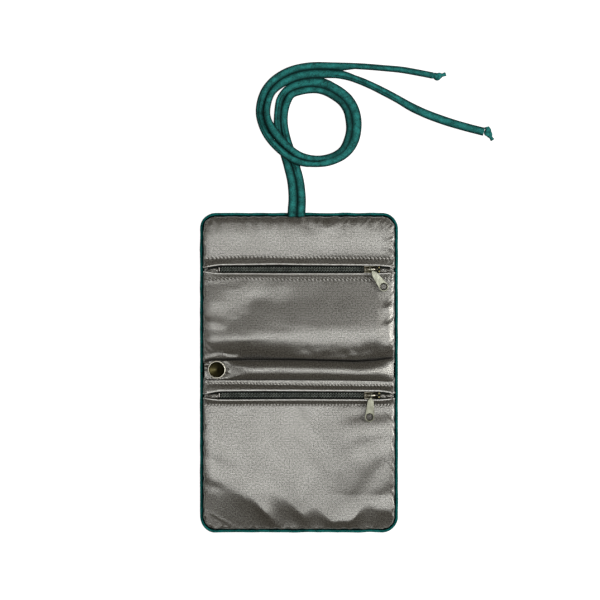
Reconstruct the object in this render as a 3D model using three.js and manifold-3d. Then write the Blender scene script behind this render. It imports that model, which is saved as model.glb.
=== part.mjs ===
// Jewelry roll, lying open with its inside up, in millimetres.
// X runs across the roll, Y towards the edge with the ties, and Z up from the table.
// The origin is the middle of the underside of the roll, ties apart.

import * as THREE from 'three';
import { mergeVertices } from 'three/addons/utils/BufferGeometryUtils.js';
import Module from 'manifold-3d';

const wasm = await Module();
wasm.setup();

// The whole roll
const ROLL_WIDTH = 150;
const ROLL_LENGTH = 242;
const CORNER_RADIUS = 12;
const CLEARANCE = 0.3;

// The two fold seams, measured from the middle, and the slot of cloth between the sections
const UPPER_FOLD = 10.5;
const LOWER_FOLD = -9.5;
const FOLD_SLOT = 0.6;

// The layers of each section, from the table up
const COVER_THICKNESS = 0.8;
const PADDING_THICKNESS = 2.4;
const LINING_THICKNESS = 0.6;

// The piping round the edge
const PIPING_DIAMETER = 3.2;
const PIPING_CORD_DIAMETER = 1.6;

// The satin pockets
const SATIN_THICKNESS = 0.9;
const HEM_THICKNESS = 1.9;
const HEM_WIDTH = 5;
const HEM_RISE = 2.5;
const HEM_SIDE_RUN = 9;
const POCKET_RISE = 5.8;
const POCKET_SIDE_RUN = 18;
const POCKET_SLIT_RUN = 46;
const POCKET_SEAM_RUN = 22;
const HEADER_RISE = 3.4;
const HEADER_SLIT_RUN = 14;
const HEADER_SEAM_RUN = 14;
const STRIP_SEAM_RUN = 2.2;
const GATHER_PITCH = 31;
const GATHER_DEPTH = 1.0;
const GATHER_REACH = 10;

// The zips
const UPPER_ZIP_FROM_EDGE = 42.9;
const LOWER_ZIP_FROM_FOLD = 7.4;
const CHAIN_LENGTH = 122;
const TAPE_WIDTH = 3.6;
const TAPE_THICKNESS = 0.4;
const COIL_WIDTH = 1.4;
const COIL_HEIGHT = 1.4;
const STOP_LENGTH = 1.4;
const STOP_WALL = 0.4;
const END_TAB_HEIGHT = 2.6;

// The sliders and their pulls
const SLIDER_LENGTH = 10.2;
const SLIDER_PLATE = 0.7;
const DIVIDER_WIDTH = 0.9;
const DIVIDER_LENGTH = 2.2;
const FLANGE_THICKNESS = 0.4;
const MOUTH_FLARE = 0.25;
const BRIDGE_LENGTH = 7;
const BRIDGE_LEG = 0.8;
const BRIDGE_BAR_DIAMETER = 1.1;
const PULL_LENGTH = 20.6;
const PULL_THICKNESS = 1.4;
const PULL_END_WIDTH = 7.2;
const PULL_TOP_WIDTH = 5.2;
const PULL_NECK_WIDTH = 2;
const PULL_NECK_LENGTH = 3.6;
const PULL_HOLE_DIAMETER = 4.8;
const PULL_EYE_WALL = 0.6;
const PULL_EYE_PLAY = 0.8;
const PULL_PITCH = 1.5;
const UPPER_PULL_YAW = 36;
const LOWER_PULL_YAW = -4;

// The ring bar
const RING_BAR_OFFSET = 2;
const RING_BAR_WIDTH = 15.4;
const RING_BAR_HEIGHT = 8.5;
const RING_BAR_WALL = 0.8;
const RING_BAR_TAPER = 8;
const TAB_LENGTH = 20;
const TAB_WIDTH = 16;
const TAB_THICKNESS = 1.7;
const SEAM_END_HEIGHT = 3.6;
const SEAM_END_LENGTH = 13;

// The snap
const SNAP_FROM_TAB_END = 9;
const SNAP_CAP_DIAMETER = 12.5;
const SNAP_CAP_HEIGHT = 1.7;
const SNAP_BASE_DIAMETER = 11;
const SNAP_BALL_DIAMETER = 5.2;
const SNAP_FLANGE = 0.7;
const SNAP_POST_DIAMETER = 2.6;

// The ties
const TIE_WIDTH = 5.2;
const TIE_THICKNESS = 3.6;
const TIE_LIFT = 0.1;
const TIE_SIDES = 10;
const TIE_STEPS = 56;
const KNOT_SIZE = 8.6;
const KNOT_WAIST = 0.72;
const KNOT_TAIL_DIAMETER = 3.4;

// Levels and places that follow from the sizes above
const halfWidth = ROLL_WIDTH / 2;
const halfLength = ROLL_LENGTH / 2;
const pipingRadius = PIPING_DIAMETER / 2;
const panelInset = PIPING_DIAMETER + CLEARANCE;
const paddingLevel = COVER_THICKNESS;
const liningLevel = paddingLevel + PADDING_THICKNESS;
const liningTop = liningLevel + LINING_THICKNESS;
const satinFloor = liningTop + CLEARANCE;
const seamTop = satinFloor + SATIN_THICKNESS;
const upperStart = UPPER_FOLD + FOLD_SLOT / 2;
const lowerStart = LOWER_FOLD - FOLD_SLOT / 2;
const spineHigh = UPPER_FOLD - FOLD_SLOT / 2;
const spineLow = LOWER_FOLD + FOLD_SLOT / 2;
const panelHalf = halfWidth - panelInset;
const panelFar = halfLength - panelInset;
const panelCorner = CORNER_RADIUS - panelInset;
const upperZip = halfLength - UPPER_ZIP_FROM_EDGE;
const lowerZip = LOWER_FOLD - LOWER_ZIP_FROM_FOLD;
const tapeTop = seamTop + HEM_RISE - HEM_THICKNESS - CLEARANCE;
const tapeInner = DIVIDER_WIDTH / 2 + CLEARANCE;
const coilOuter = tapeInner + COIL_WIDTH;
const sliderTail = coilOuter + CLEARANCE + FLANGE_THICKNESS;
const sliderHalf = sliderTail + MOUTH_FLARE;
const slitHalf = sliderHalf + CLEARANCE;
const coilBottom = tapeTop;
const coilTop = coilBottom + COIL_HEIGHT;
const chainHalf = CHAIN_LENGTH / 2;
const sliderTop = coilTop + CLEARANCE + SLIDER_PLATE;
const sliderMiddle = chainHalf - STOP_LENGTH - CLEARANCE - SLIDER_LENGTH / 2;
const eyeBore = BRIDGE_BAR_DIAMETER / 2 + PULL_EYE_PLAY;
const eyeRadius = eyeBore + PULL_EYE_WALL;
const bridgeLevel = sliderTop + CLEARANCE + eyeRadius;

const satin = { color: 0x9b9990, roughness: 0.45, metalness: 0 };
const cotton = { color: 0x1f6e66, roughness: 0.9, metalness: 0 };
const wadding = { color: 0xe6e3da, roughness: 1, metalness: 0 };
const webbing = { color: 0x4a4d48, roughness: 0.8, metalness: 0 };
const nylon = { color: 0x3d403b, roughness: 0.45, metalness: 0 };
const brass = { color: 0x6b6544, roughness: 0.35, metalness: 1 };
const nickel = { color: 0xc4c6ae, roughness: 0.3, metalness: 1 };
const whitePlastic = { color: 0xe4e2d8, roughness: 0.5, metalness: 0 };

/** A named piece with a material of its own. */
function piece(name, geometry, finish) {
  const mesh = new THREE.Mesh(geometry, new THREE.MeshStandardMaterial(finish));
  mesh.name = name;
  return mesh;
}

/** A closed geometry as a solid that can be joined and cut. */
function toSolid(geometry) {
  const bare = geometry.clone();
  bare.deleteAttribute('normal');
  bare.deleteAttribute('uv');
  const merged = mergeVertices(bare, 1e-4);
  const vertProperties = new Float32Array(merged.attributes.position.array);
  const triVerts = new Uint32Array(merged.index.array);
  return new wasm.Manifold(new wasm.Mesh({ numProp: 3, vertProperties, triVerts }));
}

/** The surface of a joined or cut solid. */
function toGeometry(solid) {
  const mesh = solid.getMesh();
  const geometry = new THREE.BufferGeometry();
  geometry.setAttribute('position', new THREE.BufferAttribute(new Float32Array(mesh.vertProperties), 3));
  geometry.setIndex(new THREE.BufferAttribute(new Uint32Array(mesh.triVerts), 1));
  geometry.computeVertexNormals();
  return geometry;
}

/** Several closed geometries joined into one. */
function join(...geometries) {
  return toGeometry(geometries.map(toSolid).reduce((whole, part) => whole.add(part)));
}

/** The first geometry with the others cut out of it. */
function cut(body, ...tools) {
  return toGeometry(tools.map(toSolid).reduce((left, tool) => left.subtract(tool), toSolid(body)));
}

/** A block given by its low corner and its high corner. */
function block(low, high) {
  const size = high.map((value, axis) => value - low[axis]);
  const middle = high.map((value, axis) => (value + low[axis]) / 2);
  return new THREE.BoxGeometry(...size).translate(...middle);
}

/** A round bar that runs along Z. */
function rod(radius, low, high, sides = 24) {
  const bar = new THREE.CylinderGeometry(radius, radius, high - low, sides);
  return bar.rotateX(Math.PI / 2).translate(0, 0, (low + high) / 2);
}

/** A solid of revolution about Z from pairs of radius and height. */
function turned(profile, sides = 24) {
  const points = profile.map(([radius, height]) => new THREE.Vector2(radius, height));
  return new THREE.LatheGeometry(points, sides).rotateX(Math.PI / 2);
}

/** A flat shape raised from one level by its thickness. */
function slab(shape, level, thickness) {
  const options = { depth: thickness, bevelEnabled: false, curveSegments: 6 };
  return new THREE.ExtrudeGeometry(shape, options).translate(0, 0, level);
}

/** A closed surface from points and triangles. */
function surface(points, triangles) {
  const geometry = new THREE.BufferGeometry().setFromPoints(points);
  geometry.setIndex(triangles);
  geometry.computeVertexNormals();
  return geometry;
}

/** A closed skin over a row of rings with as many points each, hollow where inner rings are given. */
function loft(outer, inner = null) {
  const sides = outer[0].length;
  const points = outer.flat();
  const triangles = [];
  const wall = (start, facing) => {
    for (let ring = 0; ring + 1 < outer.length; ring += 1) {
      for (let side = 0; side < sides; side += 1) {
        const a = start + ring * sides + side;
        const b = start + ring * sides + ((side + 1) % sides);
        const c = a + sides;
        const d = b + sides;
        triangles.push(...(facing ? [a, b, d, a, d, c] : [a, d, b, a, c, d]));
      }
    }
  };
  wall(0, true);
  const last = (outer.length - 1) * sides;
  if (inner) {
    const start = points.push(...inner.flat()) - inner.length * sides;
    wall(start, false);
    for (let side = 0; side < sides; side += 1) {
      const next = (side + 1) % sides;
      triangles.push(side, start + next, next, side, start + side, start + next);
      const far = [last + side, last + next, start + last + side, start + last + next];
      triangles.push(far[0], far[1], far[3], far[0], far[3], far[2]);
    }
    return surface(points, triangles);
  }
  const centre = (ring) => ring.reduce((sum, point) => sum.add(point), new THREE.Vector3()).divideScalar(sides);
  const near = points.push(centre(outer[0])) - 1;
  const far = points.push(centre(outer.at(-1))) - 1;
  for (let side = 0; side < sides; side += 1) {
    const next = (side + 1) % sides;
    triangles.push(near, next, side);
    triangles.push(far, last + side, last + next);
  }
  return surface(points, triangles);
}

/** How far a sewn panel has risen at some distance from its seam. */
function rise(distance, run) {
  return Math.sin(Math.min(1, Math.max(0, distance / run)) * Math.PI / 2);
}

/** Half the width of the panels at a place along the roll, less at the round corners. */
function panelReach(y) {
  const over = Math.abs(y) - (panelFar - panelCorner);
  if (over <= 0) return panelHalf;
  return panelHalf - panelCorner + Math.sqrt(Math.max(0, panelCorner ** 2 - over ** 2));
}

/** The outline of one section, with round corners at its far end where it has one. */
function sectionOutline(low, high) {
  const shape = new THREE.Shape();
  if (high >= panelFar) {
    shape.moveTo(-panelHalf, low).lineTo(panelHalf, low).lineTo(panelHalf, high - panelCorner);
    shape.absarc(panelHalf - panelCorner, high - panelCorner, panelCorner, 0, Math.PI / 2);
    shape.absarc(panelCorner - panelHalf, high - panelCorner, panelCorner, Math.PI / 2, Math.PI);
  } else if (low <= -panelFar) {
    shape.moveTo(panelHalf, high).lineTo(-panelHalf, high).lineTo(-panelHalf, low + panelCorner);
    shape.absarc(panelCorner - panelHalf, low + panelCorner, panelCorner, Math.PI, Math.PI * 1.5);
    shape.absarc(panelHalf - panelCorner, low + panelCorner, panelCorner, Math.PI * 1.5, Math.PI * 2);
  } else {
    shape.moveTo(-panelHalf, low).lineTo(panelHalf, low).lineTo(panelHalf, high).lineTo(-panelHalf, high);
  }
  return shape.closePath();
}

/** A satin sheet sewn down round its edge: a raised skin over the lining, with its hem at the slit. */
function sewnPanel({ seam, slit, height, columns, rows }) {
  const away = Math.sign(slit - seam);
  const points = [];
  const skins = [[], []];
  for (let row = 0; row <= rows; row += 1) {
    const share = (1 - Math.cos(Math.PI * row / rows)) / 2;
    const y = seam + (slit - seam) * share;
    for (let column = 0; column <= columns; column += 1) {
      const x = -Math.cos(Math.PI * column / columns) * panelReach(y);
      const fromSlit = Math.abs(slit - y);
      const top = height(panelReach(y) - Math.abs(x), Math.abs(y - seam), fromSlit, x);
      const hem = Math.max(0, 1 - fromSlit / HEM_WIDTH);
      const thickness = SATIN_THICKNESS + (HEM_THICKNESS - SATIN_THICKNESS) * rise(hem, 0.5);
      const bottom = Math.max(satinFloor, top - thickness);
      skins[0].push(points.push(new THREE.Vector3(x, y, top)) - 1);
      skins[1].push(points.push(new THREE.Vector3(x, y, bottom)) - 1);
    }
  }
  const triangles = [];
  const quad = (a, b, c, d) => triangles.push(...(away > 0 ? [a, b, c, a, c, d] : [a, c, b, a, d, c]));
  const at = (skin, row, column) => skins[skin][row * (columns + 1) + column];
  for (let row = 0; row < rows; row += 1) {
    for (let column = 0; column < columns; column += 1) {
      quad(at(0, row, column), at(0, row, column + 1), at(0, row + 1, column + 1), at(0, row + 1, column));
      quad(at(1, row, column), at(1, row + 1, column), at(1, row + 1, column + 1), at(1, row, column + 1));
    }
    quad(at(1, row, 0), at(0, row, 0), at(0, row + 1, 0), at(1, row + 1, 0));
    quad(at(1, row + 1, columns), at(0, row + 1, columns), at(0, row, columns), at(1, row, columns));
  }
  for (let column = 0; column < columns; column += 1) {
    quad(at(1, 0, column + 1), at(0, 0, column + 1), at(0, 0, column), at(1, 0, column));
    quad(at(1, rows, column), at(0, rows, column), at(0, rows, column + 1), at(1, rows, column + 1));
  }
  return surface(points, triangles);
}

/** The height of a pocket front: a hem all round the slit, a crown behind it and gathers at the far seam. */
function pocketHeight(fromSide, fromSeam, fromSlit, x) {
  const hem = HEM_RISE * rise(fromSide, HEM_SIDE_RUN) * rise(fromSeam, POCKET_SEAM_RUN / 2);
  const crown = (POCKET_RISE - HEM_RISE) * rise(fromSide, POCKET_SIDE_RUN)
    * rise(fromSeam, POCKET_SEAM_RUN) * rise(fromSlit, POCKET_SLIT_RUN);
  const gather = GATHER_DEPTH * Math.cos(2 * Math.PI * x / GATHER_PITCH)
    * rise(fromSide, POCKET_SIDE_RUN) * (fromSeam / GATHER_REACH) * Math.exp(1 - fromSeam / GATHER_REACH);
  return seamTop + hem + crown + gather;
}

/** The height of the header above the upper zip. */
function headerHeight(fromSide, fromSeam, fromSlit) {
  const hem = HEM_RISE * rise(fromSide, HEM_SIDE_RUN) * rise(fromSeam, HEADER_SEAM_RUN);
  const crown = (HEADER_RISE - HEM_RISE) * rise(fromSide, POCKET_SIDE_RUN)
    * rise(fromSeam, HEADER_SEAM_RUN) * rise(fromSlit, HEADER_SLIT_RUN);
  return seamTop + hem + crown;
}

/** The height of the narrow strip between the spine and the lower zip. */
function stripHeight(fromSide, fromSeam) {
  return seamTop + HEM_RISE * rise(fromSide, HEM_SIDE_RUN) * rise(fromSeam, STRIP_SEAM_RUN);
}

/** The path of the piping round one section, as places with the direction across it. */
function pipingPath(low, high) {
  const reach = halfWidth - pipingRadius;
  const end = halfLength - pipingRadius;
  const corner = CORNER_RADIUS - pipingRadius;
  const far = high > low ? end - corner : corner - end;
  const way = Math.sign(high - low);
  const stations = [{ x: -reach, y: low, across: Math.PI }];
  const steps = 6;
  for (let step = 0; step <= steps; step += 1) {
    const across = Math.PI - Math.PI / 2 * step / steps;
    const x = corner - reach + corner * Math.cos(across);
    stations.push({ x, y: far + way * corner * Math.sin(across), across });
  }
  for (let step = 0; step <= steps; step += 1) {
    const across = Math.PI / 2 - Math.PI / 2 * step / steps;
    const x = reach - corner + corner * Math.cos(across);
    stations.push({ x, y: far + way * corner * Math.sin(across), across });
  }
  stations.push({ x: reach, y: low, across: 0 });
  return stations.map(({ x, y, across }) => ({ x, y, outX: Math.cos(across), outY: way * Math.sin(across) }));
}

/** Round rings along a piping path. */
function pipingRings(path, radius, sides, way) {
  return path.map(({ x, y, outX, outY }) => Array.from({ length: sides }, (_, side) => {
    const turn = way * 2 * Math.PI * side / sides;
    const out = radius * Math.cos(turn);
    return new THREE.Vector3(x + out * outX, y + out * outY, pipingRadius + CLEARANCE + radius * Math.sin(turn));
  }));
}

/** The cover and the cord of a length of piping. */
function piping(name, path, way) {
  const sides = 12;
  const bore = PIPING_CORD_DIAMETER / 2 + CLEARANCE;
  const cover = loft(pipingRings(path, pipingRadius, sides, way), pipingRings(path, bore, sides, way));
  const cord = loft(pipingRings(path, PIPING_CORD_DIAMETER / 2, 8, way));
  return [piece(`${name}_cover`, cover, cotton), piece(`${name}_cord`, cord, wadding)];
}

/** The cover, padding and lining of one section. */
function layers(name, low, high) {
  const outline = sectionOutline(low, high);
  return [
    piece(`${name}_cover`, slab(outline, 0, COVER_THICKNESS), cotton),
    piece(`${name}_padding`, slab(outline, paddingLevel, PADDING_THICKNESS), wadding),
    piece(`${name}_lining`, slab(outline, liningLevel, LINING_THICKNESS), satin),
  ];
}

/** The body of a slider: two plates, the divider between them, side flanges and a bridge for the pull. */
function sliderBody() {
  const half = SLIDER_LENGTH / 2;
  const outline = new THREE.Shape();
  const nose = sliderHalf * 0.5;
  outline.moveTo(-half, -sliderTail).lineTo(half - nose, -sliderHalf).lineTo(half, -nose);
  outline.lineTo(half, nose).lineTo(half - nose, sliderHalf).lineTo(-half, sliderTail).closePath();
  const plateTop = sliderTop - SLIDER_PLATE;
  const underLevel = tapeTop - TAPE_THICKNESS - CLEARANCE - SLIDER_PLATE;
  const top = slab(outline, plateTop, SLIDER_PLATE);
  const under = slab(outline, underLevel, SLIDER_PLATE);
  const divider = block(
    [half - nose - DIVIDER_LENGTH, -DIVIDER_WIDTH / 2, underLevel + SLIDER_PLATE / 2],
    [half - nose, DIVIDER_WIDTH / 2, plateTop + SLIDER_PLATE / 2],
  );
  const flangeLow = tapeTop + CLEARANCE;
  const flanges = [-1, 1].map((side) => {
    const shape = new THREE.Shape();
    shape.moveTo(-half, side * sliderTail).lineTo(half - nose, side * sliderHalf);
    shape.lineTo(half - nose, side * (sliderHalf - FLANGE_THICKNESS));
    shape.lineTo(-half, side * (sliderTail - FLANGE_THICKNESS)).closePath();
    return slab(shape, flangeLow, plateTop + SLIDER_PLATE / 2 - flangeLow);
  });
  const barHalf = BRIDGE_LENGTH / 2;
  const barRadius = BRIDGE_BAR_DIAMETER / 2;
  const legs = [-1, 1].map((side) => {
    const middle = side * (barHalf - BRIDGE_LEG / 2);
    return block(
      [middle - BRIDGE_LEG / 2, -barRadius, sliderTop - SLIDER_PLATE / 2],
      [middle + BRIDGE_LEG / 2, barRadius, bridgeLevel + barRadius],
    );
  });
  const bar = rod(barRadius, -barHalf + BRIDGE_LEG / 2, barHalf - BRIDGE_LEG / 2, 12);
  bar.rotateY(Math.PI / 2).translate(0, 0, bridgeLevel);
  return join(top, under, divider, ...flanges, ...legs, bar);
}

/** A pull that hangs from its eye at the origin and runs along -Y. */
function pullBody() {
  const endRadius = PULL_END_WIDTH / 2;
  const endY = endRadius - PULL_LENGTH;
  const neck = PULL_NECK_WIDTH / 2;
  const shoulder = PULL_TOP_WIDTH / 2;
  const outline = new THREE.Shape();
  outline.moveTo(neck, 0).lineTo(-neck, 0).lineTo(-neck, -PULL_NECK_LENGTH);
  outline.lineTo(-shoulder, -PULL_NECK_LENGTH - shoulder / 2);
  outline.lineTo(-endRadius, endY).absarc(0, endY, endRadius, Math.PI, Math.PI * 2);
  outline.lineTo(shoulder, -PULL_NECK_LENGTH - shoulder / 2).lineTo(neck, -PULL_NECK_LENGTH).closePath();
  const hole = new THREE.Path();
  hole.absarc(0, endY, PULL_HOLE_DIAMETER / 2, 0, Math.PI * 2, true);
  outline.holes.push(hole);
  const plate = slab(outline, -PULL_THICKNESS / 2, PULL_THICKNESS);
  const eye = rod(eyeRadius, -neck, neck, 20).rotateY(Math.PI / 2);
  const bore = rod(eyeBore, -PULL_NECK_WIDTH, PULL_NECK_WIDTH, 20).rotateY(Math.PI / 2);
  return cut(join(plate, eye), bore);
}

/** One zip with its slider and pull, in a group that lies along the middle of its slit. */
function zip(name, place, yaw) {
  const group = new THREE.Group();
  group.position.y = place;
  const start = STOP_LENGTH + CLEARANCE - chainHalf;
  const tapeLow = tapeTop - TAPE_THICKNESS;
  [['top', 1], ['bottom', -1]].forEach(([row, side]) => {
    const span = (inner, outer) => [Math.min(side * inner, side * outer), Math.max(side * inner, side * outer)];
    const [tapeA, tapeB] = span(tapeInner, tapeInner + TAPE_WIDTH);
    const [coilA, coilB] = span(tapeInner, coilOuter);
    const tape = block([-chainHalf, tapeA, tapeLow], [chainHalf, tapeB, tapeTop]);
    const coilShape = new THREE.Shape();
    const bevel = COIL_HEIGHT / 4;
    coilShape.moveTo(-coilTop, coilA + bevel).lineTo(-coilTop, coilB - bevel).lineTo(-coilTop + bevel, coilB);
    coilShape.lineTo(-coilBottom, coilB).lineTo(-coilBottom, coilA).lineTo(-coilTop + bevel, coilA).closePath();
    const length = CHAIN_LENGTH - 2 * (STOP_LENGTH + CLEARANCE);
    const coil = new THREE.ExtrudeGeometry(coilShape, { depth: length, bevelEnabled: false });
    coil.rotateY(Math.PI / 2).translate(start, 0, 0);
    const stop = block(
      [chainHalf - STOP_LENGTH, coilA, tapeTop],
      [chainHalf, coilB, coilTop + STOP_WALL],
    );
    group.add(piece(`${name}_tape_${row}`, tape, webbing));
    group.add(piece(`${name}_coil_${row}`, coil, nylon));
    group.add(piece(`${name}_top_stop_${row}`, stop, brass));
  });
  const stop = block([-chainHalf, -coilOuter, tapeTop], [STOP_LENGTH - chainHalf, coilOuter, coilTop + STOP_WALL]);
  group.add(piece(`${name}_bottom_stop`, stop, whitePlastic));
  const endStart = chainHalf + CLEARANCE;
  [['left', -1], ['right', 1]].forEach(([end, side]) => {
    const shape = new THREE.Shape();
    const low = satinFloor;
    const high = low + END_TAB_HEIGHT;
    shape.moveTo(endStart, low).lineTo(panelHalf, low).lineTo(panelHalf, low + SATIN_THICKNESS);
    shape.lineTo(panelHalf - END_TAB_HEIGHT, high).lineTo(endStart, high).closePath();
    const tab = new THREE.ExtrudeGeometry(shape, { depth: 2 * sliderHalf, bevelEnabled: false });
    tab.rotateX(Math.PI / 2).translate(0, sliderHalf, 0);
    const mesh = piece(`${name}_end_${end}`, tab, satin);
    mesh.rotation.z = side < 0 ? Math.PI : 0;
    group.add(mesh);
  });
  const slider = new THREE.Group();
  slider.position.x = sliderMiddle;
  slider.add(piece(`${name}_slider`, sliderBody(), brass));
  const pull = piece(`${name}_pull`, pullBody(), nickel);
  pull.position.z = bridgeLevel;
  pull.rotation.order = 'ZXY';
  pull.rotation.z = THREE.MathUtils.degToRad(yaw);
  pull.rotation.x = -THREE.MathUtils.degToRad(PULL_PITCH);
  slider.add(pull);
  group.add(slider);
  return group;
}

/** An oval ring across the ring bar at a place along it. */
function barRing(x, width, height, level) {
  const sides = 20;
  return Array.from({ length: sides }, (_, side) => {
    const turn = 2 * Math.PI * side / sides;
    const across = Math.sign(Math.cos(turn)) * Math.abs(Math.cos(turn)) ** 0.7;
    const up = Math.sign(Math.sin(turn)) * Math.abs(Math.sin(turn)) ** 0.8;
    return new THREE.Vector3(x, width / 2 * across, level + height / 2 * up);
  });
}

/** The ring bar with its filling and the cap and socket of its snap. */
function ringBar() {
  const group = new THREE.Group();
  group.position.y = RING_BAR_OFFSET;
  const left = -panelHalf;
  const right = panelHalf;
  const tabEnd = left + TAB_LENGTH;
  const tubeStart = tabEnd + RING_BAR_TAPER;
  const tubeEnd = right - SEAM_END_LENGTH;
  const level = satinFloor + RING_BAR_HEIGHT / 2;
  const endLevel = satinFloor + SEAM_END_HEIGHT / 2;
  const rings = [
    barRing(left, TAB_WIDTH, TAB_THICKNESS, level),
    barRing(tabEnd, TAB_WIDTH, TAB_THICKNESS, level),
    barRing((tabEnd + tubeStart) / 2, (TAB_WIDTH + RING_BAR_WIDTH) / 2, RING_BAR_HEIGHT * 0.68, level),
    barRing(tubeStart, RING_BAR_WIDTH, RING_BAR_HEIGHT, level),
    barRing(tubeEnd, RING_BAR_WIDTH, RING_BAR_HEIGHT, level),
    barRing((tubeEnd + right) / 2, RING_BAR_WIDTH, (RING_BAR_HEIGHT + SEAM_END_HEIGHT) * 0.54, (level + endLevel) / 2),
    barRing(right, TAB_WIDTH, SEAM_END_HEIGHT, endLevel),
  ];
  const core = (gap, start, over) => {
    const less = 2 * gap;
    const middle = (RING_BAR_HEIGHT + SEAM_END_HEIGHT) * 0.54;
    return loft([
      barRing(start, RING_BAR_WIDTH - less, RING_BAR_HEIGHT - less, level),
      barRing(tubeEnd, RING_BAR_WIDTH - less, RING_BAR_HEIGHT - less, level),
      barRing((tubeEnd + right) / 2, RING_BAR_WIDTH - less, middle - less, (level + endLevel) / 2),
      barRing(right + over, TAB_WIDTH - less, SEAM_END_HEIGHT - less, endLevel),
    ]);
  };
  const snap = left + SNAP_FROM_TAB_END;
  const hole = rod(SNAP_POST_DIAMETER / 2 + CLEARANCE, level - TAB_THICKNESS, level + TAB_THICKNESS);
  hole.translate(snap, 0, 0);
  const bore = core(RING_BAR_WALL, tubeStart + RING_BAR_WALL, 1);
  group.add(piece('ring_bar_cover', cut(loft(rings), bore, hole), satin));
  const filling = core(RING_BAR_WALL + CLEARANCE, tubeStart + RING_BAR_WALL + CLEARANCE, -RING_BAR_WALL);
  group.add(piece('ring_bar_filling', filling, wadding));

  const tabTop = level + TAB_THICKNESS / 2;
  const tabLow = level - TAB_THICKNESS / 2;
  const capRadius = SNAP_CAP_DIAMETER / 2;
  const postRadius = SNAP_POST_DIAMETER / 2;
  const capTop = tabTop + SNAP_CAP_HEIGHT;
  const cap = turned([
    [0, tabLow - SNAP_FLANGE / 2], [postRadius, tabLow - SNAP_FLANGE / 2], [postRadius, tabTop + CLEARANCE / 3],
    [capRadius, tabTop + CLEARANCE / 3], [capRadius, capTop - SNAP_FLANGE],
    [capRadius - SNAP_FLANGE, capTop], [capRadius - 2 * SNAP_FLANGE, capTop - SNAP_FLANGE / 2],
    [capRadius / 2, capTop - SNAP_FLANGE / 4], [0, capTop],
  ]);
  const baseRadius = SNAP_BASE_DIAMETER / 2;
  const mouth = SNAP_BALL_DIAMETER / 2 + CLEARANCE;
  const socketTop = tabLow - CLEARANCE / 3;
  const socketLow = liningTop + SNAP_FLANGE + CLEARANCE;
  const socket = turned([
    [mouth, socketLow], [baseRadius - SNAP_FLANGE, socketLow], [baseRadius, socketLow + SNAP_FLANGE],
    [baseRadius, socketTop], [postRadius + CLEARANCE, socketTop], [postRadius + CLEARANCE, socketTop - SNAP_FLANGE / 2],
    [mouth, socketTop - SNAP_FLANGE / 2], [mouth, socketLow],
  ]);
  [['snap_cap', cap], ['snap_socket', socket]].forEach(([name, geometry]) => {
    const mesh = piece(name, geometry, brass);
    mesh.position.x = snap;
    group.add(mesh);
  });
  return group;
}

/** The spine section with its piping and the fixed half of the snap. */
function spine() {
  const group = new THREE.Group();
  const [cover, padding, lining] = layers('spine', spineLow, spineHigh);
  const snap = new THREE.Vector3(SNAP_FROM_TAB_END - panelHalf, RING_BAR_OFFSET, 0);
  const postRadius = SNAP_POST_DIAMETER / 2;
  const baseRadius = SNAP_BASE_DIAMETER / 2;
  const ballRadius = SNAP_BALL_DIAMETER / 2;
  const recess = rod(baseRadius, liningLevel - SNAP_FLANGE - CLEARANCE, liningLevel + LINING_THICKNESS / 2);
  const hole = rod(postRadius + CLEARANCE, liningLevel - LINING_THICKNESS, liningTop + LINING_THICKNESS);
  padding.geometry = cut(padding.geometry, recess.translate(snap.x, snap.y, 0));
  lining.geometry = cut(lining.geometry, hole.translate(snap.x, snap.y, 0));
  group.add(cover, padding, lining);
  const tabLow = satinFloor + RING_BAR_HEIGHT / 2 - TAB_THICKNESS / 2;
  const ballTop = tabLow - SNAP_FLANGE / 2 - 2 * CLEARANCE;
  const boreTop = ballTop - SNAP_FLANGE;
  const bore = postRadius + CLEARANCE;
  const stud = turned([
    [bore, liningTop], [baseRadius, liningTop], [baseRadius, liningTop + SNAP_FLANGE],
    [ballRadius - CLEARANCE, liningTop + SNAP_FLANGE], [ballRadius, (liningTop + ballTop) / 2],
    [ballRadius - CLEARANCE, ballTop], [0, ballTop], [0, boreTop], [bore, boreTop], [bore, liningTop],
  ]);
  const post = turned([
    [0, liningLevel - SNAP_FLANGE], [baseRadius - CLEARANCE, liningLevel - SNAP_FLANGE],
    [baseRadius - CLEARANCE, liningLevel], [postRadius, liningLevel],
    [postRadius, boreTop - CLEARANCE], [0, boreTop - CLEARANCE],
  ]);
  [['snap_stud', stud], ['snap_post', post]].forEach(([name, geometry]) => {
    const mesh = piece(name, geometry, brass);
    mesh.position.copy(snap);
    group.add(mesh);
  });
  const reach = halfWidth - pipingRadius;
  [['left', -1], ['right', 1]].forEach(([end, side]) => {
    const path = [spineLow, spineHigh].map((y) => ({ x: side * reach, y, outX: side, outY: 0 }));
    group.add(...piping(`spine_piping_${end}`, path, -side));
  });
  return group;
}

/** Half a tie's thickness above the table, raised by some share of a crossing. */
function tieLevel(share) {
  const low = TIE_THICKNESS / 2 + TIE_LIFT;
  return low + share * (TIE_THICKNESS + 2 * CLEARANCE);
}

const overPiping = PIPING_DIAMETER + 2 * CLEARANCE + TIE_THICKNESS / 2;

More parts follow.
